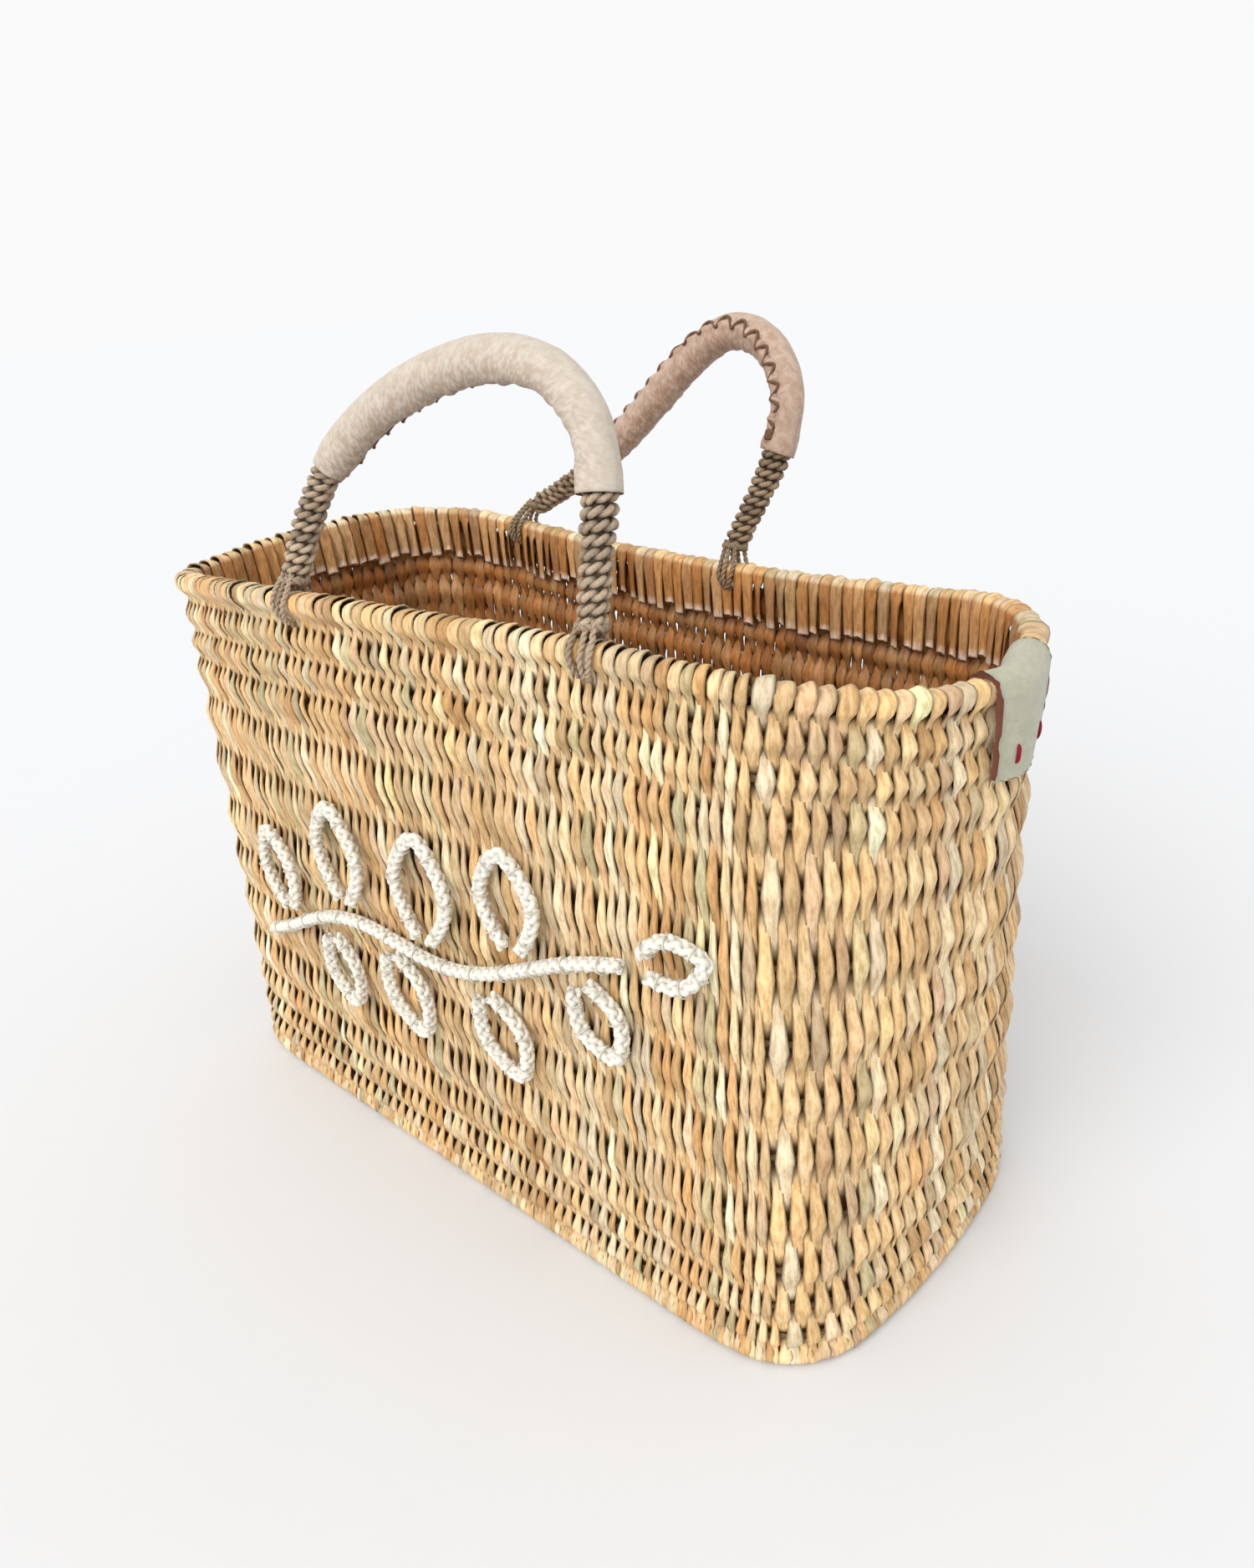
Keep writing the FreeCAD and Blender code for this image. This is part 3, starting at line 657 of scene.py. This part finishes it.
def make_base():
    """Reeds from front to back, woven over and under the lengthwise cords."""
    rng = np.random.default_rng(31)
    edge = wall(np.linspace(0, 4, 800), 0.0)[0]
    count = 112
    reach_x = BASE_HALF_LENGTH - 8
    xs = np.linspace(-reach_x, reach_x, count)
    parts = []
    for i, x in enumerate(xs):
        near = edge[np.abs(edge[:, 0] - x) < 3.5]
        low, high = near[near[:, 1] < 0][:, 1].max() + 3, near[near[:, 1] > 0][:, 1].min() - 3
        ys = np.linspace(low, high, 64)
        phase = (ys + BASE_HALF_WIDTH) / BASE_SPACING
        way = (1 if i % 2 else -1) * np.cos(np.pi * phase)
        line = np.stack([np.full(64, x) + 0.3 * np.sin(phase + i), ys, MAT / 2 + 0.15 + 2.1 * way], axis=1)
        half = (xs[1] - xs[0]) * (0.70 + 0.2 * np.cos(2 * np.pi * phase))
        run = unit(np.gradient(line, axis=0))
        across = np.tile([1.0, 0, 0], (64, 1))
        normal = np.cross(across, run)
        verts = line[:, None] + across[:, None] * (SECTION_X * half[:, None])[..., None]
        verts = verts + normal[:, None] * (SECTION_Y * 0.9)[None, :, None]
        tone = reed_tones(rng, 1, np.clip(phase, 0, LAST))[0]
        # Painted shade where a reed dives under the cords and its neighbours.
        shade = 0.25 + 0.75 * smooth((way[:, None] * np.sign(SECTION_Y) + 0.85) / 1.35)
        uv = uv_grid(np.arange(8) / 8 + 3.3 * i, ys[:, None] / 10)
        parts.append((verts, ring_quads(1, 64, 8), uv, tone[:, None] * shade[..., None], 0))
    mesh_object("base_woven_reeds", parts, [REED], "basket", ["base_reeds"])


# ------------ cords
CORD_TINT = (0.30, 0.20, 0.10)


def twisted(line, radius, strand, pitch, strands=2, tint=(1, 1, 1), around=6, phase=0.0):
    """Parts for a laid cord: strands twisted round a line."""
    _, side, other = frames(line)
    reach = reach_along(line)
    parts = []
    for i in range(strands):
        turn = 2 * np.pi * (reach / pitch + i / strands) + phase
        points = line + circle(side, other, turn) * radius
        parts.append(round_strand(points, strand, around, tint, 4.0, 0.37 * i + phase))
    return parts


def hidden_cord(name, node, line, radius=0.62, strand=0.85, pitch=9.0):
    """A foundation cord that shows only through the gaps of the weave."""
    parts = twisted(line, radius, strand, pitch, tint=CORD_TINT)
    mesh_object(name, parts, [CORE_CORD], "basket", [node])


def make_hidden_cords():
    stations = np.linspace(0, 4, 261)
    for i, height in enumerate(ROW_HEIGHTS):
        name = f"foundation_cord_{i + 1:02d}"
        hidden_cord(name + "_laid", name, wall(stations, height)[0])
    hidden_cord("rim_cord_laid", "rim_core_cord", wall(stations, RIM_HEIGHT)[0], 1.1, 1.5, 14.0)
    for i in range(BASE_CORDS):
        name = f"base_cord_{i + 1}"
        y = -BASE_HALF_WIDTH + BASE_SPACING * (i + 1)
        ends = [(corner[0] / MM, y, MAT / 2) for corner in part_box(name)]
        hidden_cord(name + "_laid", name, even(np.array(ends), 3.0))


# ------------ handles
FEET = {"front": (-48.5, 94.0), "back": (-117.0, 26.0)}
FOOT_CLEARANCE = 9.8
ROUTES = {
    "front": [
        (-70.5, FOOT_CLEARANCE), (-66.0, 28.0), (-57.0, 49.0), (-40.0, 67.0), (-17.0, 81.0), (8.0, 89.5),
        (28.0, 91.5), (45.0, 88.0), (58.0, 79.5), (66.5, 68.0), (70.5, 52.0), (71.5, 33.0),
        (72.0, FOOT_CLEARANCE),
    ],
    "back": [
        (-64.0, 14.5), (-49.0, 23.0), (-31.0, 36.0), (-12.0, 53.0), (5.0, 73.0), (23.0, 94.5),
        (41.0, 107.0), (58.5, 105.0), (74.0, 94.0), (83.0, 77.0), (82.5, 55.0), (75.5, 33.0), (69.0, 13.0),
    ],
}
LACE_PITCH = 9.0              # from one lacing stitch to the next along the seam
LACE_TINT = (0.20, 0.105, 0.06)
LEANS = {"front": 15.0, "back": 18.0}
SLEEVE_ENDS = {"front": (51.0, 50.0), "back": (44.0, 55.0)}


def station_at_x(x, side):
    """Where the rim's front or back is at the given x."""
    stations = np.linspace(side + 0.02, side + 0.98, 2001)
    xs = RIM_TRACK.at(stations)[:, 0]
    return np.interp(x, xs, stations) if side == 0 else np.interp(x, xs[::-1], stations[::-1])


def handle_frame(name):
    """Middle between a handle's feet, its two leaning directions, and its side of the rim."""
    side = 0 if name == "front" else 2
    left, right = (RIM_TRACK.at(np.array(station_at_x(x, side))) for x in FEET[name])
    across = unit(right - left)
    level = unit(np.array([-across[1], across[0], 0]))
    upright = unit(np.cross(across, level))
    if upright[2] < 0:
        upright = -upright
    lean = math.radians(LEANS[name])
    return (left + right) / 2, across, upright * math.cos(lean) + level * math.sin(lean), side


def wound_wrap(name, line, radii, tone, body, node, seed):
    """A two-ply cord wound tightly round a leg."""
    rng = np.random.default_rng(seed)
    pitch, ply, strand, lay = 4.3, 0.98, 1.16, 7.6
    length = np.linalg.norm(np.diff(line, axis=0), axis=1).sum()
    turns = length / pitch
    steps = int(turns * 40)
    share = np.linspace(0, 1, steps)
    tangents, side, other = frames(line)
    place, index = share * (len(line) - 1), np.arange(len(line))
    centre = between(place, index, line)
    ahead, u, v = (unit(between(place, index, values)) for values in (tangents, side, other))
    angle = 2 * np.pi * turns * share
    wobble = np.interp(share * turns, np.arange(int(turns) + 3), rng.normal(0, 0.22, int(turns) + 3))
    radius = np.interp(share, (0, 1), radii) - ply - strand + wobble
    radial = circle(u, v, angle)
    cord = centre + radial * radius[:, None]
    run = reach_along(cord)
    # The core under the wound cord is near black, darker than the rope core: painted shade in the gaps
    # between turns.
    parts = [round_strand(line, CORE / 2, 12, (0.10, 0.07, 0.04))]
    shades = rng.uniform(0.72, 1.3, int(turns) + 3)
    shade = np.interp(share * turns, np.arange(int(turns) + 3), shades)
    for k in range(2):
        spin = 2 * np.pi * run / lay + np.pi * k
        points = cord + circle(radial, ahead, spin) * ply
        # Painted shade where each ply turns in under the other.
        painted_ply_shade = 0.16 + 0.84 * smooth((np.cos(spin) + 0.6) / 1.5)
        colour = np.array(tone) * (shade * painted_ply_shade)[:, None]
        parts.append(round_strand(points, strand, 7, colour, 4.0, 0.4 * k))
    mesh_object(name, parts, [SEAGRASS], body, [node])


def ridges(rng, reach, count, low, high):
    """Narrow bumps at random places along a line."""
    total = np.zeros_like(reach)
    for place, size, width in zip(rng.uniform(0, reach[-1], count), rng.uniform(low, high, count),
                                  rng.uniform(0.9, 2.2, count)):
        total += size * np.exp(-((reach - place) / width) ** 2)
    return total


def leather_sleeve(name, handle, line, seam, material, seed):
    """A leather tube with crosswise wrinkles, a sewn seam and turned ends."""
    rng = np.random.default_rng(seed)
    tangents, _, _ = frames(line)
    middle, across, up, _ = handle_frame(handle)
    plane = unit(np.cross(across, up))
    inward = unit(np.cross(plane, tangents))
    inward *= np.where(((middle + up * 30 - line) * inward).sum(axis=1) < 0, -1, 1)[:, None]
    around = 40
    turns = 2 * np.pi * np.arange(around) / around
    reach = reach_along(line)
    share = reach / reach[-1]
    radius = SLEEVE / 2 * (0.90 + 0.10 * np.sin(np.pi * np.clip(share * 1.1, 0, 1)) ** 0.6)
    radius += 0.7 * smooth((share - 0.9) / 0.1) - 0.5 * smooth((0.05 - share) / 0.05)
    # Wrinkles are deepest on the inner side, where the leather is pushed together.
    inner_side = 0.5 + 0.5 * np.cos(turns)
    sets = [ridges(rng, reach, 46, 0.10, 0.38) for _ in range(6)]
    bumps = np.zeros((len(line), around))
    for i, bump in enumerate(sets):
        centre = 2 * np.pi * i / len(sets)
        near = np.exp(-((np.mod(turns - centre + np.pi, 2 * np.pi) - np.pi) / 0.7) ** 2)
        bumps += bump[:, None] * near[None]
    skew = rng.uniform(0.25, 0.9)
    slant = 0.10 * np.sin(reach[:, None] / 2.1 + 2.5 * np.sin(turns + skew)[None])
    depth = bumps * (0.35 + 0.9 * inner_side[None]) + slant * inner_side[None]
    seam_angle = np.interp(share, *zip(*seam))
    away = np.mod(turns[None] - seam_angle[:, None] + np.pi, 2 * np.pi) - np.pi
    scallop = 0.5 + 0.5 * np.cos(2 * np.pi * reach / LACE_PITCH)
    depth += (0.5 + 0.9 * scallop)[:, None] * np.exp(-(away / 0.17) ** 2)
    depth -= 0.7 * np.exp(-((away - 0.34) / 0.10) ** 2)
    size = radius[:, None] + depth
    ring = circle(inward[:, None], plane, turns[None])
    skin = line[:, None] + ring * size[..., None]
    # The ends turn in to show the leather's thickness.
    rims = []
    for index, push in ((0, 1), (-1, -1)):
        inset = line[index] + tangents[index] * push * 2.0
        rims.append(inset + ring[index] * (size[index] - 1.5)[:, None])
        rims.append(line[index] + ring[index] * (size[index] - 1.4)[:, None])
    verts = np.concatenate([rims[:2], skin, rims[:1:-1]])
    # Painted shade: darker in the seam's groove, between the wrinkles and on the rings turned in at the ends;
    # the sleeve's inner side is darker too, mostly painted shade.
    groove_shade = 1 - 0.35 * np.exp(-((away - 0.34) / 0.14) ** 2)
    tint = np.ones((len(line), around, 3)) * (groove_shade * (1 - 0.16 * np.clip(0.3 - bumps, 0, 0.3)))[..., None]
    tint *= 1 - 0.38 * inner_side[None, :, None] * np.array((0.5, 0.8, 1.0))
    full = np.concatenate([tint[:1] * 0.5, tint[:1] * 0.8, tint, tint[-1:] * 0.8, tint[-1:] * 0.4])
    along = np.concatenate([[0, 0], reach, [reach[-1]] * 2])
    uv = uv_grid(turns[None] / (2 * np.pi) * 4.8, along[:, None] / 10)
    quads = ring_quads(1, len(verts), around)
    ends = (quads[:, 0] // around < 2) | (quads[:, 0] // around >= len(verts) - 3)
    flat = verts.reshape(-1, 3)
    parts = [(flat, quads[~ends], uv, full.reshape(-1, 3), 0), (flat, quads[ends], uv, np.ones_like(flat), 1)]
    body = handle + "_handle"
    sleeve = mesh_object(name, parts, [material, EDGE], body, [body + "_sleeve"])
    weld(sleeve)

    # Whip stitches over the seam, and a knot at its right end.
    lacing = []
    first, final = np.searchsorted(share, 0.05), np.searchsorted(share, 0.95)
    span = slice(first, final)
    wave = 2 * np.pi * reach / LACE_PITCH
    swing = seam_angle + 0.17 + 0.33 * np.sin(wave)
    height = radius + 0.5 + 0.65 * np.cos(wave + 0.5)
    points = line + circle(inward, plane, swing) * height[:, None]
    lacing.append(round_strand(points[span], 0.75, 7, LACE_TINT, 3.0))
    knot_centre = points[final] + tangents[final] * 1.5
    coil = np.linspace(0, 5 * np.pi, 60)
    knot = knot_centre + 1.5 * circle(inward[final], plane, coil)
    knot = knot + np.outer(np.sin(coil * 1.7) * 1.5, tangents[final])
    lacing.append(round_strand(knot, 0.9, 7, LACE_TINT, 3.0))
    mesh_object(handle + "_lacing_stitches", lacing, [THREAD], body, [body + "_lacing"])


def weld(obj):
    """Joins points that lie on each other, so that shading runs on across parts."""
    shape = bmesh.new()
    shape.from_mesh(obj.data)
    bmesh.ops.remove_doubles(shape, verts=shape.verts, dist=0.01 * MM)
    shape.to_mesh(obj.data)
    shape.free()


def make_lashings(handle, line, tone):
    """Strands that fan from each leg's end over the rim, into the weave on both of its sides."""
    side = handle_frame(handle)[3]
    for foot, index, x in (("left", 0, FEET[handle][0]), ("right", -1, FEET[handle][1])):
        rng = np.random.default_rng(71 + index + len(handle))
        station = float(station_at_x(x, side))
        centre, outward, _ = wall(station, RIM_HEIGHT)
        along = np.cross(UP, outward)
        leg_end = line[index]
        over = RIM_ROLL / 2 + 1.2
        parts = []
        for face, fans in ((1, (-3.0, 0.6, 3.4)), (-1, (-2.6, 0.9, 3.2))):
            for fan in fans:
                lean = rng.uniform(-0.7, 0.7)
                route = [leg_end + along * fan * 0.8 + outward * face * 2.8 + UP * 2.5]
                for a, b, c in (
                    (fan * 1.25, over * 0.62, over),
                    (fan * 1.2, over + 1.0, 1.0),
                    (fan * 0.7 + lean, over - 0.2, -4),
                    (fan * 0.3 + lean, WALL / 2 + 0.6, -6.5),
                    (lean, 0.6, -8.5),
                ):
                    route.append(centre + along * a + outward * face * b + UP * c)
                cord = route_line(route, 0.6)
                shade = np.array(tone) * rng.uniform(0.75, 1.1)
                parts += twisted(cord, 0.5, 0.66, 5.0, tint=shade, phase=rng.uniform(0, 6))
        # A last turn ties the strands together under the leg.
        ring = np.linspace(0, 2 * np.pi * 1.6, 60)
        waist = leg_end - unit(leg_end - centre) * 0.9
        behind = unit(np.cross(unit(leg_end - centre), along))
        loop = waist + 4.6 * circle(along, behind, ring)
        parts += twisted(loop, 0.7, 0.9, 6.0, tint=np.array(tone) * 0.8)
        name = f"{handle}_{foot}_lashing"
        obj = mesh_object(name + "_strands", parts, [SEAGRASS], None, [name])
        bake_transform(obj)


HANDLE_LOOKS = {
    # Wrap tone, leather, seam line as (share of the sleeve, angle from its inner side towards the front).
    "front": ((0.54, 0.41, 0.29), BEIGE, ((0, -1.1), (1, -1.1)), 41),
    "back": ((0.42, 0.30, 0.19), TAN, ((0, 2.75), (0.30, 2.5), (0.52, 1.8), (0.75, 1.2), (1, 1.0)), 47),
}


def make_handle(handle):
    middle, across, up, _ = handle_frame(handle)
    tone, leather, seam, seed = HANDLE_LOOKS[handle]
    body = handle + "_handle"
    route = [middle + across * u + up * v for u, v in ROUTES[handle]]
    line = route_line(route, 0.9)
    heights = (line - middle) @ up
    low_left, low_right = SLEEVE_ENDS[handle]
    first = int(np.argmax(heights > low_left))
    final = len(line) - int(np.argmax(heights[::-1] > low_right))
    tucked = 3
    legs = (
        ("left", line[:first + tucked], (-0.2, 0.1)),
        ("right", line[final - tucked:], (0.5, -0.6)),
    )
    for i, (leg, part, swell) in enumerate(legs):
        radii = [WRAP / 2 + more for more in swell]
        wound_wrap(f"{handle}_{leg}_wound_cord", part, radii, tone, body, f"{body}_{leg}_wrap", seed + i)
    core = twisted(line, 1.5, 2.2, 16.0, 3, (0.22, 0.15, 0.08), 7)
    mesh_object(handle + "_rope_core", core, [CORE_CORD], body, [body + "_core"])
    leather_sleeve(handle + "_leather_sleeve", handle, line[first:final], seam, leather, seed + 2)
    make_lashings(handle, line, tone)


# ------------ tab
STITCH_SHARES = (0.26, 0.70)  # over the strap's width
STITCH_DROPS = (18.2, 25.2)   # top and foot of a stitch under the rim
RED_TINT = (0.36, 0.012, 0.03)


def make_tab():
    """A thick leather strap over the rim: soft face, dark cut edge, two stitches."""
    stations = np.linspace(1.02, 1.98, 2001)
    ys = RIM_TRACK.at(stations)[:, 1]
    low, high = (np.interp(TAB_CENTRE_Y + s * TAB_WIDTH / 2, ys, stations) for s in (-1, 1))
    across = 22
    share = np.linspace(0, 1, across)
    near = RIM_ROLL / 2 + 0.3
    arc = np.linspace(0, np.pi, 17)
    down = np.linspace(1, 0, 13)[:-1]
    # The section runs up the outside, over the roll and down the inside.
    lower = np.concatenate([down, np.zeros(len(arc)), down[::-1]])
    turn = np.concatenate([np.zeros(len(down)), arc, np.full(len(down), np.pi)])
    layers = []
    for skin in (0.0, 1.0):
        rows = []
        for s, t in zip(low + (high - low) * share, share):
            centre = RIM_TRACK.at(np.array(s))
            _, out, _ = wall(s, RIM_HEIGHT)
            drop = TAB_DROP * lower * (1 - 0.05 * (1 - math.sin(math.pi * t)))
            stand = 1.6 * lower * (1 - t) ** 2 - 1.6 * lower ** 2
            radius = near + TAB_THICKNESS * skin
            flank = np.cos(turn)
            place = out[None] * (flank * (radius + np.where(turn < 0.1, stand, 0)))[:, None]
            rows.append(centre + place + UP * (radius * np.sin(turn) - drop)[:, None])
        layers.append(np.array(rows))
    inner, outer = layers
    rings = len(lower)
    size = across * rings
    cell = np.array((0, 1, rings + 1, rings))
    grid = np.array([i * rings + j + cell for i in range(across - 1) for j in range(rings - 1)])
    border = [i * rings for i in range(across)]
    border += [(across - 1) * rings + j for j in range(1, rings)]
    border += [i * rings + rings - 1 for i in range(across - 2, -1, -1)]
    border += list(range(rings - 2, 0, -1))
    belt = np.array([(a, b, b + size, a + size) for a, b in zip(border, border[1:] + border[:1])])
    verts = np.concatenate([inner.reshape(-1, 3), outer.reshape(-1, 3)])
    reach = np.cumsum(np.linalg.norm(np.diff(outer[0], axis=0, prepend=outer[0][:1]), axis=1))
    uv = np.tile(uv_grid(share[:, None] * TAB_WIDTH / 10, reach[None] / 10).reshape(-1, 2), (2, 1))
    wear = 1 - 0.18 * (np.abs(2 * share - 1) ** 8)[:, None, None] * np.ones((1, rings, 3))
    # The strap's underside, against the rim, is painted darker as shade.
    tint = np.concatenate([wear.reshape(-1, 3) * 0.6, wear.reshape(-1, 3)])
    parts = [(verts, np.vstack([grid[:, ::-1], grid + size]), uv, tint, 0), (verts, belt, uv, tint, 1)]
    tab = mesh_object("rim_tab_leather", parts, [SAGE, EDGE], "basket", ["leather_tab"])
    weld(tab)
    bevel = tab.modifiers.new("edge", "BEVEL")
    bevel.width = 0.45 * MM
    bevel.segments = 2
    bevel.limit_method = "ANGLE"
    bevel.angle_limit = math.radians(50)

    def on_flap(share_at, drop, face):
        """A point on the strap's outer skin, on the outer (1) or inner (-1) flap."""
        row = outer[int(round(share_at * (across - 1)))]
        flap = slice(0, len(down)) if face == 1 else slice(rings - len(down), rings)
        order = np.argsort(lower[flap])
        return between(drop / TAB_DROP, lower[flap][order], row[flap][order])

    stitches = []
    for share_at in STITCH_SHARES:
        out = wall(low + (high - low) * share_at, RIM_HEIGHT)[1]
        for face in (1, -1):
            away = out * face
            top, foot = (on_flap(share_at, drop, face) for drop in STITCH_DROPS)
            middle = (foot + top) / 2
            lifts = ((foot, -2), (foot, 0.4), (middle, 0.7), (top, 0.4), (top, -2))
            route = [point + away * lift for point, lift in lifts]
            stitches += twisted(route_line(route, 0.35), 0.34, 0.46, 3.0, 3, RED_TINT, 6)
    mesh_object("rim_tab_stitches", stitches, [THREAD], "basket", ["tab_stitches"])


# ------------ cord motif
STEM = [
    (-126, 92), (-106, 100), (-84, 112), (-60, 122), (-36, 126), (-12, 124),
    (12, 122), (36, 127), (60, 138), (84, 150), (106, 156),
]
LEAVES = [
    (-98, 104, 103, 50), (-48, 124, 88, 56), (4, 123, 84, 58), (56, 136, 92, 50),
    (-70, 118, -72, 44), (-25, 125, -66, 48), (32, 126, -62, 46), (82, 149, -58, 40), (106, 156, 22, 34),
]
LEAF_SLIMNESS = 0.52


def on_front(x, z, lift):
    """The point in front of the front wall at the given x and height."""
    stations = np.linspace(0.0, 1.0, 1201)
    xs = wall(stations, z)[0][:, 0]
    return wall(np.interp(x, xs, stations), z, lift)[0]


def leaf_route(x, z, angle, length):
    """The open loop of one leaf, from a place on the stem, as points of the front wall."""
    neck = MOTIF_CORD / 2 + 0.6
    start = MOTIF_CORD + 3.2
    half = length * LEAF_SLIMNESS / 2
    shape = [(0, neck), (0.26, half * 0.9), (0.56, half), (0.82, half * 0.55), (1.0, 0.0)]
    sides = shape + [(a, -c) for a, c in reversed(shape[:-1])]
    turn = math.radians(angle)
    route = []
    for a, c in sides:
        reach = start + a * (length - start)
        across = reach * math.cos(turn) - c * math.sin(turn)
        rise = reach * math.sin(turn) + c * math.cos(turn)
        route.append((x + across, z + rise))
    return route


BRAID_TINT = np.array((0.92, 0.88, 0.78))
BRAID_CORE_TINT = (0.62, 0.57, 0.46)
SEWING_TINT = (0.80, 0.74, 0.62)


def braided(line, seed):
    """Parts for a round braid: strands wind both ways and pass over and under each other."""
    rng = np.random.default_rng(seed)
    _, side, other = frames(line)
    reach = reach_along(line)
    pitch, count, strand = 15.0, 3, 1.25
    middle = MOTIF_CORD / 2 - strand - 0.45
    parts = [round_strand(line, middle, 6, BRAID_CORE_TINT)]
    for way in (1, -1):
        for i in range(count):
            turn = way * 2 * np.pi * (reach / pitch) + 2 * np.pi * i / count + (0.5 if way < 0 else 0)
            weave = np.cos(2 * np.pi * reach / pitch * count + np.pi * (way < 0))
            points = line + circle(side, other, turn) * (middle + 0.45 * weave)[:, None]
            # Painted shade where a strand passes under the crossing strands.
            shade = (0.70 + 0.30 * smooth((weave + 1) / 1.4))[:, None] * rng.uniform(0.95, 1.03)
            parts.append(round_strand(points, strand, 7, BRAID_TINT * shade, 3.0, 0.3 * i))
    return parts


def make_motif():
    lift = WALL / 2 + MOTIF_CORD / 2 + 0.3
    stem = route_line([on_front(x, z, lift) for x, z in STEM], 0.8)
    mesh_object("motif_stem_braid", braided(stem, 5), [COTTON], "basket", ["motif_stem"])
    leaves, lines = [], [stem]
    for i, leaf in enumerate(LEAVES):
        lines.append(route_line([on_front(x, z, lift) for x, z in leaf_route(*leaf)], 0.8))
        leaves += braided(lines[-1], 50 + i)
    mesh_object("motif_leaf_braids", leaves, [COTTON], "basket", ["motif_leaves"])
    stitches = []
    for index, line in enumerate(lines):
        count = 14 if index == 0 else 6
        for i in range(count):
            k = int(len(line) * (i + 0.5) / count)
            ahead = unit(line[min(k + 2, len(line) - 1)] - line[k - 2])
            out = unit(np.cross(np.cross(ahead, [0, -1.0, 0]), ahead))
            across = np.cross(ahead, out)
            reach = MOTIF_CORD / 2 + 0.1
            turns = np.radians(np.linspace(-20, 200, 18))
            arc = line[k] + reach * circle(across, out, turns)
            stitches.append(round_strand(arc, 0.32, 6, SEWING_TINT, 2.0))
    mesh_object("motif_sewing", stitches, [COTTON], "basket", ["motif_stitches"])


# ------------ studio
def heading(azimuth, elevation):
    """Unit vector from the basket, for angles in degrees: azimuth from the front towards the right."""
    azimuth, elevation = math.radians(azimuth), math.radians(elevation)
    level = math.cos(elevation)
    return Vector((math.sin(azimuth) * level, -math.cos(azimuth) * level, math.sin(elevation)))


def make_studio():
    """A pale floor under white sky light and one wide, soft sun."""
    size = 6.0
    floor = bpy.data.meshes.new("studio_floor")
    corners = [(-size, -size, 0), (size, -size, 0), (size, size, 0), (-size, size, 0)]
    floor.from_pydata(corners, [], [(0, 1, 2, 3)])
    floor.uv_layers.new(name="UVMap")
    plane = bpy.data.objects.new("studio_floor", floor)
    link(plane)
    floor.materials.append(floor_material())

    world = bpy.data.worlds.new("studio")
    bpy.context.scene.world = world
    world.use_nodes = True
    sky = world.node_tree.nodes["Background"]
    sky.inputs["Color"].default_value = (1.0, 1.0, 1.0, 1)
    sky.inputs["Strength"].default_value = 0.95
    bpy.context.scene.view_settings.view_transform = "Standard"
    sun = bpy.data.lights.new("soft_sun", "SUN")
    sun.energy = 2.0
    sun.angle = math.radians(48)
    holder = bpy.data.objects.new("soft_sun", sun)
    holder.rotation_euler = (-heading(6, 38)).to_track_quat("-Z", "Y").to_euler()
    link(holder)


def make_camera():
    back = heading(43.06, 25.02)
    roll = math.radians(-2.73)
    right = Vector((0, 0, 1)).cross(back).normalized()
    up = back.cross(right)
    c, s = math.cos(roll), math.sin(roll)
    right, up = right * c + up * s, up * c - right * s
    data = bpy.data.cameras.new("camera")
    data.lens = 27.34
    data.shift_x, data.shift_y = 0.0013, 0.005
    data.clip_start = 0.01
    camera = bpy.data.objects.new("camera", data)
    turn = Matrix((right, up, back)).transposed().to_4x4()
    camera.matrix_world = Matrix.Translation((0.35106, -0.35367, 0.39621)) @ turn
    link(camera)
    bpy.context.scene.camera = camera


make_reeds()
make_base()
make_hidden_cords()
make_handle("front")
make_handle("back")
make_tab()
make_motif()
make_studio()
make_camera()
